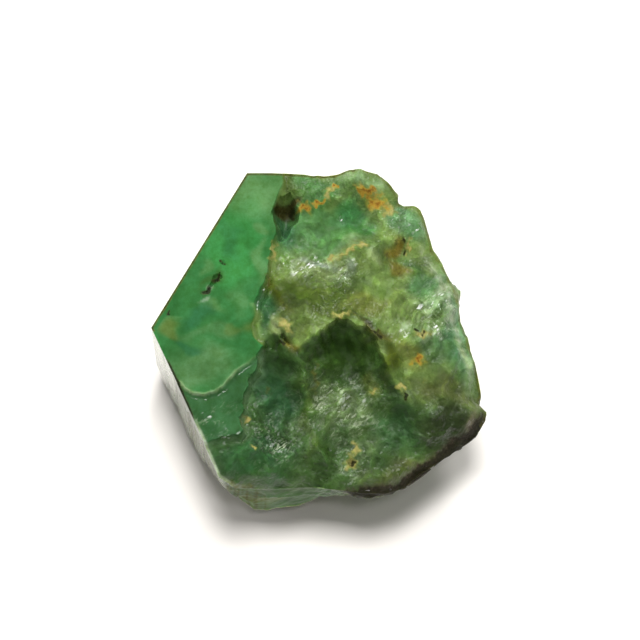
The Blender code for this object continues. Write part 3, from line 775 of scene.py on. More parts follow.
    def tints(
        self,
        x: np.ndarray,
        y: np.ndarray,
        lower: np.ndarray,
        painted_lip_shade: np.ndarray,
        step: np.ndarray,
        facet: np.ndarray,
    ) -> np.ndarray:
        """The linear colour of the stone at places on the plan.

        Args:
            x: places to the right.
            y: places to the back.
            lower: one in the hollow.
            painted_lip_shade: one right under the lip of the hollow.
            step: one on the lower plate.
            facet: one on the basal facet.

        Returns:
            One row of red, green and blue for each place.
        """
        colour = self.blend(Tint.UPPER, self.upper_patches, x, y)
        hollow = self.blend(Tint.LOWER, self.lower_patches, x, y)
        # painted shade under the lip of the hollow
        hollow = lay_over(hollow, Tint.HOLLOW_GREEN_AND_SHADE.colour, self.painted_lip_shade * painted_lip_shade)
        plate = self.blend(Tint.FACET, self.facet_patches, x, y)
        ledge = self.blend(Tint.STEP, (), x, y)
        for over, share in ((hollow, lower), (ledge, step), (plate, facet)):
            colour = lay_over(colour, over, share)
        return colour

    def blend(
        self, tint: Tint, layers: tuple[Patch, ...], x: np.ndarray, y: np.ndarray
    ) -> np.ndarray:
        """One tint with soft, wavy patches of others laid over it.

        Args:
            tint: the tint underneath.
            layers: the patches, the last one on top.
            x: places to the right.
            y: places to the back.

        Returns:
            One row of linear red, green and blue for each place.
        """
        colour = np.tile(tint.colour, (len(x), 1))
        wavy_x = x + self.waviness * np.sin(1.9 * y + 0.8 * np.sin(2.3 * x))
        wavy_y = y + self.waviness * np.sin(1.7 * x + 0.8 * np.sin(2.9 * y))
        for patch in layers:
            share = smooth_step(patch.spot.share(wavy_x, wavy_y), *self.patch_edge)
            colour = lay_over(colour, patch.tint.colour, patch.strength * share)
        return colour

    def share(self, ovals: tuple[Spot, ...], x: np.ndarray, y: np.ndarray) -> np.ndarray:
        """How far places lie in any of some ragged spots, from nought to one.

        Args:
            ovals: the spots.
            x: places to the right.
            y: places to the back.

        Returns:
            The share of each place.
        """
        wavy_x = x + self.raggedness * wave(x, y, (1.0, 2.0, 5.1, 0.0), (1.0, -4.1, 9.7, 0.0))
        wavy_y = y + self.raggedness * wave(x, y, (1.0, 4.3, -2.6, 0.0), (1.0, 8.9, 5.3, 0.0))
        return np.max([spot.share(wavy_x, wavy_y) for spot in ovals], axis=0)


# ------------------------------------------------------------
# Materials
# ------------------------------------------------------------


def add_node(
    tree: bpy.types.NodeTree, kind: str, inputs: dict[int | str, Any] | None = None, **settings: Any
) -> bpy.types.Node:
    """One node with its settings and links.

    Args:
        tree: where the node goes.
        kind: Blender's name for the node.
        inputs: for each socket, by name or number, either a value or an output to link from.
        settings: the node's own settings.

    Returns:
        The new node.
    """
    node = tree.nodes.new(kind)
    for name, value in settings.items():
        setattr(node, name, value)
    for socket, value in (inputs or {}).items():
        if isinstance(value, Socket):
            tree.links.new(value, node.inputs[socket])
        else:
            node.inputs[socket].default_value = value
    return node


@dataclass(frozen=True)
class Contrast:
    """Two factors on a colour, and between which values one passes into the other."""

    start: float
    end: float
    dim: Triple
    bright: Triple


@dataclass(frozen=True)
class Nodes:
    """Short words for the nodes of one material."""

    tree: bpy.types.NodeTree

    def add(
        self, kind: str, inputs: dict[int | str, Any] | None = None, **settings: Any
    ) -> bpy.types.Node:
        """One shader node with its settings and links."""
        return add_node(self.tree, "ShaderNode" + kind, inputs, **settings)

    def math(self, operation: str, *values: Any) -> Socket:
        """A sum on single values."""
        return self.add("Math", dict(enumerate(values)), operation=operation).outputs[0]

    def vector(self, operation: str, *values: Any) -> Socket:
        """A sum on vectors or colours."""
        return self.add("VectorMath", dict(enumerate(values)), operation=operation).outputs[0]

    def scaled(self, vector: Any, factor: Any) -> Socket:
        """A vector or colour times a single value."""
        return self.add("VectorMath", {0: vector, "Scale": factor}, operation="SCALE").outputs[0]

    def in_mm(self) -> Socket:
        """The place on the piece, in millimetres."""
        return self.scaled(self.add("TexCoord").outputs["Object"], 1.0 / MM)

    def attribute(self, name: str) -> Socket:
        """A value or colour that the mesh carries."""
        node = self.add("Attribute", attribute_name=name)
        return node.outputs["Color" if name == "tint" else "Fac"]

    def span(
        self, value: Any, low: Any, high: Any, start: float = 0.0, end: float = 1.0, **settings: Any
    ) -> Socket:
        """A value that runs from low to high while another runs from start to end."""
        inputs = {"Value": value, "From Min": start, "From Max": end, "To Min": low, "To Max": high}
        return self.add("MapRange", inputs, **settings).outputs[0]

    def mix(self, share: Any, under: Any, over: Any, blend: str = "MIX") -> Socket:
        """One colour laid over another."""
        inputs = {0: share, 6: under, 7: over}
        return self.add("Mix", inputs, data_type="RGBA", blend_type=blend).outputs[2]

    def noise(
        self, place: Socket, size: float, detail: float, rough: float = 0.5, twist: float = 0.0
    ) -> bpy.types.Node:
        """Cloudy noise.

        Args:
            place: the place on the piece.
            size: the size of its lumps in millimetres.
            detail: how many times finer lumps are added.
            rough: how strong the finer lumps are.
            twist: how far the lumps are drawn out of shape.

        Returns:
            The noise, with a single value and a colour to read.
        """
        inputs = {"Vector": place, "Scale": 1.0 / size, "Detail": detail}
        return self.add("TexNoise", {**inputs, "Roughness": rough, "Distortion": twist})

    def cells(self, place: Socket, size: float) -> bpy.types.Node:
        """Cells of a size in millimetres, with a random colour for each."""
        return self.add("TexVoronoi", {"Vector": place, "Scale": 1.0 / size})

    def ramp(self, value: Socket, *stops: tuple[float, Triple]) -> Socket:
        """Linear colours read along a value, from its low end to its high end.

        Args:
            value: the value to read along.
            stops: the values and their colours, from low to high.

        Returns:
            The colour.
        """
        node = self.add("ValToRGB", {0: value})
        elements = node.color_ramp.elements
        while len(elements) < len(stops):
            elements.new(0.5)
        for element, (position, colour) in zip(elements, stops):
            element.position = position
            element.color = (*colour, 1.0)
        return node.outputs[0]

    def contrast(self, value: Socket, contrast: Contrast) -> Socket:
        """The factors of a contrast, read along a value."""
        return self.ramp(value, (contrast.start, contrast.dim), (contrast.end, contrast.bright))

    def surface(self, inputs: dict[int | str, Any]) -> None:
        """The surface of the material, linked to its output."""
        surface = self.add("BsdfPrincipled", inputs)
        self.add("OutputMaterial", {"Surface": surface.outputs[0]})


def empty_material(name: str) -> tuple[bpy.types.Material, Nodes]:
    """A new material without nodes, and the words to fill it with.

    Args:
        name: the material's name.

    Returns:
        The material and the words.
    """
    material = bpy.data.materials.new(name)
    material.use_nodes = True
    material.node_tree.nodes.clear()
    return material, Nodes(material.node_tree)


@dataclass(frozen=True)
class Stain:
    """Something that covers the stone in places."""

    mask: str  # the mesh value that says where it lies
    grain: float  # the grain in its ragged edge, in millimetres
    full: float  # from 1.6 for a hard edge to 2.1 for a soft one
    shades: tuple[str, str, str]  # from its fringe to its core


@dataclass(frozen=True)
class RoughBeryl:
    """Cloudy emerald: glassy beryl full of veils, with whole faces and shell-like chips.

    Light goes a little way in and comes out green, the surface keeps a sharp, glassy shine, and
    the healed cracks inside show as pale wisps.
    """

    ior: float = 1.58  # beryl
    light_reach: float = 0.6  # how far light wanders inside, in millimetres
    light_share: float = 0.8
    light_colours: Triple = (0.75, 1.0, 0.7)
    # Each detail below says how many finer sizes a noise has, and how strong they are.
    cloud_size: float = 2.4  # milky clouds in the stone
    cloud_detail: Span = (7.0, 0.62)
    clouds: Contrast = Contrast(0.32, 0.68, (0.66, 0.74, 0.60), (1.34, 1.22, 1.30))
    mottle_size: float = 0.8  # yellowish and bluish mottling on the break
    mottle_detail: Span = (5.0, 0.7)
    mottle: Contrast = Contrast(0.36, 0.64, (0.78, 0.80, 0.60), (1.20, 1.16, 1.30))
    whole_mottling: float = 0.8  # its share on whole faces
    chip_size: float = 0.55  # small flat chips, each with its own lean
    chip_waviness: float = 0.9  # of a chip's own size
    chip_shades: Span = (0.86, 1.16)
    plane_size: float = 1.7  # larger planes of the break, each its own shade
    plane_shades: Span = (0.74, 1.24)
    crest_span: Span = (0.44, 0.56)  # from the bottom of a chip to its crest
    # painted shade in the hollows of the chips and painted light on their crests
    painted_relief_shades: Span = (0.68, 1.28)
    streak_turn: float = 42.0  # which way the flecks run
    streak_squeeze: Triple = (0.45, 1.0, 1.0)
    wisp_size: float = 0.34  # flecks in the veils of healed cracks
    wisp_detail: Span = (4.0, 0.6)
    wisp_twist: float = 1.4
    wisps: Contrast = Contrast(0.50, 0.64, (0.0, 0.0, 0.0), (0.7, 0.7, 0.7))
    wisp_colour: str = "#c9d6b4"
    cluster_size: float = 1.3  # how the flecks gather
    cluster_span: Span = (0.42, 0.62)
    speck_size: float = 0.34  # painted glints: white flecks where the break glints
    speck_reach: Span = (0.75, -0.14)  # against the random value of each, and what is taken off
    speck_edge: float = 0.12
    painted_glint_colour: str = "#eef3ec"
    grain_size: float = 0.22  # the finest grain that shows
    grain_share: float = 0.8
    bump_strength: Span = (0.02, 0.35)  # on whole faces and on the break
    bump_depth: float = 0.15
    calm_relief: float = 0.35  # share of the relief where the break is calm
    lean: float = 0.22  # how far the small chips lean
    glint_lean: float = 0.4  # and how much further where they glint
    whole_roughness: float = 0.14
    broken_roughness: float = 0.30
    glint_roughness: float = 0.12
    calm_roughness: float = 0.15  # added, as the next two are
    stain_roughness: float = 0.3
    uneven_roughness: float = 0.14
    uneven_size: float = 0.7
    shine: float = 0.36
    calm_shine: float = 0.16
    stain_shine: float = 0.1
    stain_ragged: float = 1.1  # how much the grain counts in a stain's edge
    stain_reach: float = 1.6
    stain_start: float = 0.87
    stain_cover: float = 0.92
    blotch_share: float = 2.2  # grain of an edge to blotches in its shade
    core_reach: float = 0.7
    shade_depths: Triple = (0.7, 0.98, 1.28)  # fringe, middle and core
    deepest: float = 1.4
    stains: tuple[Stain, ...] = (
        Stain("mica", 0.5, 1.8, ("#4f453b", "#2b241c", "#1c1710")),
        Stain("dirt", 0.6, 2.1, ("#666a2a", "#4d4a1a", "#2d2b10")),
        Stain("clay", 0.5, 1.9, ("#77833f", "#979252", "#a9a266")),
        Stain("rust", 0.6, 1.85, ("#8f923c", "#ab8a33", "#774a14")),
        # the dark stain also paints the shade along the lower left edge
        Stain("dark", 0.25, 1.6, ("#3c3a1a", "#1d1e0d", "#12160a")),
    )

    def build(self) -> bpy.types.Material:
        """The material of the stone, its stains included.

        Returns:
            The material.
        """
        material, nodes = empty_material("rough_beryl")
        place = nodes.in_mm()
        turn = {"Vector": place, "Angle": math.radians(-self.streak_turn)}
        turned = nodes.add("VectorRotate", turn, rotation_type="Z_AXIS").outputs[0]
        along = nodes.vector("MULTIPLY", turned, self.streak_squeeze)
        colour = self.veiled(nodes, place, along, self.body_colour(nodes, place))
        colour, stained = self.stained(nodes, place, self.painted_glints(nodes, along, colour))
        nodes.surface(
            {
                "Base Color": colour,
                "Roughness": self.roughness(nodes, place, stained),
                "IOR": self.ior,
                "Specular IOR Level": self.specular(nodes, stained),
                "Subsurface Weight": self.light_share,
                "Subsurface Radius": self.light_colours,
                "Subsurface Scale": self.light_reach * MM,
                "Normal": self.normal(nodes, place),
            }
        )
        return material

    def wavy_cells(
        self, nodes: Nodes, place: Socket, size: float, waves: float
    ) -> bpy.types.Node:
        """Cells with wavy edges.

        Args:
            nodes: where they go.
            place: the place on the stone.
            size: how far apart the cells lie, in millimetres.
            waves: the size of the waves in their edges.

        Returns:
            The cells, with a random colour for each.
        """
        wave = nodes.noise(place, waves, 3.0).outputs["Color"]
        reach = (self.chip_waviness * size,) * 3
        return nodes.cells(nodes.vector("MULTIPLY_ADD", wave, reach, place), size)

    def chips(self, nodes: Nodes, place: Socket, size: float) -> Socket:
        """A random colour for each chip of a size."""
        return self.wavy_cells(nodes, place, size, size).outputs["Color"]

    def body_colour(self, nodes: Nodes, place: Socket) -> Socket:
        """The tints with clouds and mottling, a random shade for each chip and plane, and painted
        shade in the hollows between chips with painted light on their crests.

        Args:
            nodes: where they go.
            place: the place on the stone.

        Returns:
            The colour.
        """
        broken = nodes.attribute("broken")
        clouds = nodes.noise(place, self.cloud_size, *self.cloud_detail).outputs["Fac"]
        clouds = nodes.contrast(clouds, self.clouds)
        body = nodes.mix(1.0, nodes.attribute("tint"), clouds, "MULTIPLY")
        mottle = nodes.noise(place, self.mottle_size, *self.mottle_detail).outputs["Fac"]
        mottle = nodes.contrast(mottle, self.mottle)
        mottling = nodes.span(broken, self.whole_mottling, 1.0)
        mottled = nodes.mix(mottling, body, mottle, "MULTIPLY")
        shade = nodes.span(self.chips(nodes, place, self.chip_size), *self.chip_shades)
        # painted relief: darker in the hollows between chips, lighter on their crests
        pointed = nodes.add("NewGeometry").outputs["Pointiness"]
        painted_relief = nodes.span(pointed, *self.painted_relief_shades, *self.crest_span)
        planes = nodes.span(self.chips(nodes, place, self.plane_size), *self.plane_shades)
        for factor in (painted_relief, planes):
            shade = nodes.math("MULTIPLY", shade, factor)
        return nodes.mix(broken, mottled, nodes.scaled(mottled, shade))

    def veiled(self, nodes: Nodes, place: Socket, along: Socket, colour: Socket) -> Socket:
        """The colour with the pale wisps of healed cracks, which gather in clusters.

        Args:
            nodes: where they go.
            place: the place on the stone.
            along: the place, drawn out along the flecks.
            colour: the colour underneath.

        Returns:
            The colour.
        """
        wisps = nodes.noise(along, self.wisp_size, *self.wisp_detail, self.wisp_twist)
        thin = nodes.contrast(wisps.outputs["Fac"], self.wisps)
        clusters = nodes.noise(place, self.cluster_size, 2.0).outputs["Fac"]
        gathered = nodes.span(clusters, 0.0, 1.0, *self.cluster_span)
        veil = nodes.math("MULTIPLY", nodes.attribute("veil"), gathered)
        veil = nodes.math("MULTIPLY", veil, thin)
        return nodes.mix(veil, colour, (*linear(self.wisp_colour), 1.0))

    def painted_glints(self, nodes: Nodes, along: Socket, colour: Socket) -> Socket:
        """The colour with painted glints: white flecks where the break glints.

        Args:
            nodes: where they go.
            along: the place, drawn out along the flecks.
            colour: the colour underneath.

        Returns:
            The colour.
        """
        cells = self.wavy_cells(nodes, along, self.speck_size, 0.5 * self.speck_size)
        reach = nodes.math("MULTIPLY_ADD", cells.outputs["Color"], *self.speck_reach)
        within = nodes.math("SUBTRACT", reach, cells.outputs["Distance"])
        dots = nodes.span(within, 0.0, 1.0, 0.0, self.speck_edge)
        speck = nodes.math("MULTIPLY", dots, nodes.attribute("glint"))
        return nodes.mix(speck, colour, (*linear(self.painted_glint_colour), 1.0))

    def stained(self, nodes: Nodes, place: Socket, colour: Socket) -> tuple[Socket, Socket]:
        """The colour with its stains.

        Args:
            nodes: where they go.
            place: the place on the stone.
            colour: the colour underneath.

        Returns:
            The colour, and how much of a stain covers the stone.
        """
        covers = []
        for stain in self.stains:
            lies = nodes.attribute(stain.mask)
            grain = nodes.noise(place, stain.grain, 5.0).outputs["Fac"]
            ragged = nodes.math("MULTIPLY", grain, self.stain_ragged)
            spread = nodes.math("MULTIPLY_ADD", lies, self.stain_reach, ragged)
            limits = (0.0, self.stain_cover, self.stain_start, stain.full)
            mask = nodes.span(spread, *limits, interpolation_type="SMOOTHSTEP")
            blotches = nodes.noise(place, stain.grain / self.blotch_share, 4.0).outputs["Fac"]
            depth = nodes.math("MULTIPLY_ADD", lies, self.core_reach, blotches)
            depth = nodes.math("MULTIPLY", depth, 1.0 / self.deepest)
            depths = (at / self.deepest for at in self.shade_depths)
            shade = nodes.ramp(depth, *zip(depths, map(linear, stain.shades)))
            colour = nodes.mix(mask, colour, shade)
            covers.append(mask)
        total = covers[0]
        for mask in covers[1:]:
            total = nodes.math("MAXIMUM", total, mask)
        return colour, total

    def roughness(self, nodes: Nodes, place: Socket, stained: Socket) -> Socket:
        """Glassy on whole faces, duller on chips, dull on stains.

        Args:
            nodes: where they go.
            place: the place on the stone.
            stained: how much of a stain covers the stone.

        Returns:
            The roughness.
        """
        grain = nodes.noise(place, self.uneven_size, 4.0).outputs["Fac"]
        rough = nodes.span(
            nodes.attribute("broken"), self.whole_roughness, self.broken_roughness
        )
        rough = nodes.math("MULTIPLY_ADD", nodes.attribute("calm"), self.calm_roughness, rough)
        rough = nodes.span(nodes.attribute("glint"), rough, self.glint_roughness)
        rough = nodes.math("MULTIPLY_ADD", grain, self.uneven_roughness, rough)
        rough = nodes.math("MULTIPLY_ADD", stained, self.stain_roughness, rough)
        return nodes.math("SUBTRACT", rough, 0.5 * self.uneven_roughness)

    def specular(self, nodes: Nodes, stained: Socket) -> Socket:
        """The shine: full on fresh chips, low where the break is calm, hardly any on stains.

        Args:
            nodes: where they go.
            stained: how much of a stain covers the stone.

        Returns:
            The shine.
        """
        shine = nodes.span(nodes.attribute("calm"), self.shine, self.calm_shine)
        shine = nodes.span(nodes.attribute("glint"), shine, 1.0)
        return nodes.span(stained, shine, self.stain_shine)

    def normal(self, nodes: Nodes, place: Socket) -> Socket:
        """The finest chips as a bump, and small facets that lean each its own way.

        Args:
            nodes: where they go.
            place: the place on the stone.

        Returns:
            The direction that the surface faces.
        """
        calm = nodes.span(nodes.attribute("calm"), 1.0, self.calm_relief)
        relief = nodes.math("MULTIPLY", nodes.attribute("broken"), calm)
        cells = nodes.cells(place, self.grain_size).outputs["Distance"]
        grain = nodes.noise(place, self.grain_size, 5.0).outputs["Fac"]
        bump = nodes.add(
            "Bump",
            {
                "Strength": nodes.span(relief, *self.bump_strength),
                "Distance": self.bump_depth * MM,
                "Height": nodes.math("MULTIPLY_ADD", grain, self.grain_share, cells),
            },
        )
        lean = nodes.vector("SUBTRACT", self.chips(nodes, place, self.chip_size), (0.5,) * 3)
        reach = nodes.math("MULTIPLY_ADD", nodes.attribute("glint"), self.glint_lean, self.lean)
        reach = nodes.math("MULTIPLY", relief, reach)
        leaning = nodes.vector("ADD", bump.outputs[0], nodes.scaled(lean, reach))
        return nodes.vector("NORMALIZE", leaning)


@dataclass(frozen=True)
class BiotiteMica:
    """Biotite mica, split along its sheets: near black, with a pearly, greyish shine."""

    dark: str = "#1b1712"
    light: str = "#5c554b"
    flake_size: float = 0.6
    roughness: float = 0.35
    ior: float = 1.6

    def build(self) -> bpy.types.Material:
        """The material of the flakes.

        Returns:
            The material.
        """
        material, nodes = empty_material("biotite_mica")
        cells = nodes.cells(nodes.in_mm(), self.flake_size).outputs["Color"]
        shade = nodes.ramp(cells, (0.0, linear(self.dark)), (1.0, linear(self.light)))
        nodes.surface({"Base Color": shade, "Roughness": self.roughness, "IOR": self.ior})
        return material


@dataclass(frozen=True)
class WhitePaper:
    """Matt white paper, plain and even."""

    colour: str = "#f8f3ee"
    roughness: float = 0.9
    shine: float = 0.1

    def build(self) -> bpy.types.Material:
        """The material of the floor.

        Returns:
            The material.
        """
        material, nodes = empty_material("white_paper")
        nodes.surface(
            {
                "Base Color": (*linear(self.colour), 1.0),
                "Roughness": self.roughness,
                "Specular IOR Level": self.shine,
            }
        )
        return material


# ------------------------------------------------------------
# The crystal
# ------------------------------------------------------------


@dataclass
class Form:
    """Where the points of the crystal's mesh lie, and what its colours need to know of them."""

    points: np.ndarray
    push: np.ndarray  # which way, and how far, chips move a point
    share: np.ndarray  # from the axis, nought, to the rim, one
    down: np.ndarray  # from the rim, nought, to the foot, one
    angle: np.ndarray
    is_top: np.ndarray
    is_bottom: np.ndarray
    off_faces: np.ndarray  # one away from the whole prism faces
    rough: np.ndarray
    lobe: np.ndarray  # one on the lobe under the lower left edge


def streaks_down(angle: np.ndarray) -> np.ndarray:
    """Uneven streaks side by side round the stone, from nought to one."""
    return 0.5 + 0.25 * np.sin(1.9 * angle) + 0.25 * np.sin(4.7 * angle + 1.0)


@dataclass(frozen=True)
class FrostAndFloorReflection:
    """The frosted, grooved look of the whole prism faces: a pale frost that also paints the white
    floor's reflection in them, and painted reflected shadow, grey-brown, towards the foot and where
    the faces turn away.
    """

    thin: float = 0.2
    extra: float = 0.45
    extra_from: Span = (168.0, 178.0)
    # the painted reflected shadow: towards the foot, in streaks, and where the faces turn away
    reflected_shadow_span: Span = (0.5, 1.0)
    reflected_shadow_streaks: float = 0.4
    shaded: Span = (188.0, 208.0)
    turned_away_shade: float = 0.9

    def lay(self, tint: np.ndarray, form: Form, whole: np.ndarray, z: np.ndarray) -> np.ndarray:
        """A tint with the frosting over it.

        Args:
            tint: the tint underneath, a row for each place.
            form: where the places lie on the crystal.
            whole: one on the whole prism faces.
            z: the heights of the places.

        Returns:
            One row of red, green and blue for each place.
        """
        angle = form.angle
        # painted shade where the faces turn away, added to painted reflected shadow towards the foot
        turned_away = self.turned_away_shade * smooth_step(angle, *self.shaded)
        low = form.down + self.reflected_shadow_streaks * streaks_down(angle) + turned_away
        stained = smooth_step(low, *self.reflected_shadow_span)
        cloudy = self.thin + self.extra * smooth_step(angle, *self.extra_from)
        cloudy = cloudy * (0.8 + 0.2 * np.sin(0.9 * z + np.sin(0.31 * angle)))
        # pale frost with the painted floor reflection, grey where the painted reflected shadow lies
        frost = lay_over(Tint.FROST_AND_REFLECTION.colour, Tint.PAINTED_GREY_REFLECTION.colour, stained)
        return lay_over(tint, frost, cloudy * whole)


@dataclass(frozen=True)
class MicaBand:
    """The dark band along the lower right edge, uneven in width."""

    reach: Stretch = Stretch(272.0, 288.0, 336.0, 346.0)
    waves: Rows = ((0.5, 0.35, 0.0), (0.3, 0.81, 0.0), (0.2, 2.3, 0.0))
    thinner: float = 0.025  # at its lower left end
    thin_to: Span = (286.0, 306.0)
    on_top: Span = (0.905, 0.985)
    top_unevenness: float = 0.015
    on_side: Span = (0.1, 0.5)
    side_unevenness: float = 0.16

    def share(self, form: Form) -> np.ndarray:
        """How much mica covers the stone.

        Args:
            form: where the places lie on the crystal.

        Returns:
            The share of each place.
        """
        angle = form.angle
        uneven = sum(height * np.sin(rate * angle + start) for height, rate, start in self.waves)
        thinner = self.thinner * (1.0 - smooth_step(angle, *self.thin_to))
        near_edge = np.where(
            form.is_top,
            smooth_step(form.share + self.top_unevenness * uneven - thinner, *self.on_top),
            1.0 - smooth_step(form.down + self.side_unevenness * uneven, *self.on_side),
        )
        return self.reach.share(angle) * np.where(form.is_bottom, 0.0, near_edge)


@dataclass(frozen=True)
class EdgeLines:
    """Dirt along the rim, painted shade and a painted highlight along the lower left edge, and a pale
    line inside the right-hand rim.
    """

    rim: Span = (0.975, 0.992)  # share of the way to the rim
    dirt_on_top: Span = (0.972, 0.99)
    dirt_on_side: Span = (0.02, 0.16)
    dirt_from: float = -24.0
    dirt_to: float = 78.0
    line_to: float = 176.0
    dirt_strength: float = 0.6
    line_strength: float = 0.85
    spot_strength: float = 0.7
    streaked: Stretch = Stretch(196.0, 206.0, 246.0, 256.0)
    streaks_from: Span = (0.05, 0.3)
    streak_strength: float = 0.75
    # angles of the painted shade along the lower left edge
    dark: Stretch = Stretch(184.0, 190.0, 208.0, 216.0)
    edge_shade_strength: float = 0.8
    # angles of the painted highlight beside it
    edge_highlight: Stretch = Stretch(210.0, 218.0, 238.0, 246.0)
    edge_highlight_strength: float = 0.6
    pale: Stretch = Stretch(45.0, 60.0, 98.0, 112.0)
    pale_turn: float = 60.0  # the angle that the pale line's stretch is turned back by
    pale_strength: float = 0.55
    pale_at: float = 0.95
    pale_width: float = 0.018

    def edge(self, form: Form) -> np.ndarray:
        """One along the rim on the top."""
        return np.where(form.is_top, smooth_step(form.share, *self.rim), 0.0)

    def dirt(self, form: Form, on_top: np.ndarray) -> np.ndarray:
        """The dirt along the rim, in spots on the top and in streaks down the sides.

        Args:
            form: where the places lie on the crystal.
            on_top: the dirt in spots on the top.

        Returns:
            How much dirt covers each place.
        """
        from_start = (form.angle - self.dirt_from) % 360.0
        at_edge = np.where(
            form.is_top,
            smooth_step(form.share, *self.dirt_on_top),
            1.0 - smooth_step(form.down, *self.dirt_on_side),
        )
        beyond = from_start > self.dirt_to - self.dirt_from
        at_edge = np.where(form.is_bottom | beyond, 0.0, at_edge)
        line = self.edge(form) * (form.angle > self.dirt_to) * (form.angle < self.line_to)
        on_side = ~(form.is_top | form.is_bottom)
        streaks = self.streaked.share(form.angle) * (0.5 + 0.5 * streaks_down(form.angle))
        streaks = streaks * on_side * smooth_step(form.down, *self.streaks_from)
        layers = (
            self.dirt_strength * at_edge,
            self.line_strength * line,
            self.spot_strength * on_top,
            self.streak_strength * streaks,
        )
        return np.max(layers, axis=0)

    def edge_shade_line(self, form: Form) -> np.ndarray:
        """Painted shade: a dark line along the lower left edge."""
        return self.edge_shade_strength * self.edge(form) * self.dark.share(form.angle)

    def edge_highlight_line(self, form: Form) -> np.ndarray:
        """A painted highlight along the edge beside it."""
        return self.edge_highlight_strength * self.edge(form) * self.edge_highlight.share(form.angle)

    def pale_line(self, form: Form) -> np.ndarray:
        """A broken, pale line inside the right-hand rim.

        Args:
            form: where the places lie on the crystal.

        Returns:
            The share of each place.
        """
        angle = form.angle
        across = np.exp(-(((form.share - self.pale_at) / self.pale_width) ** 2))
        broken_up = 0.5 + 0.5 * np.sin(0.9 * angle) * np.sin(2.3 * angle)
        along = self.pale.share((angle + self.pale_turn) % 360.0) * broken_up
        return self.pale_strength * form.is_top * across * along


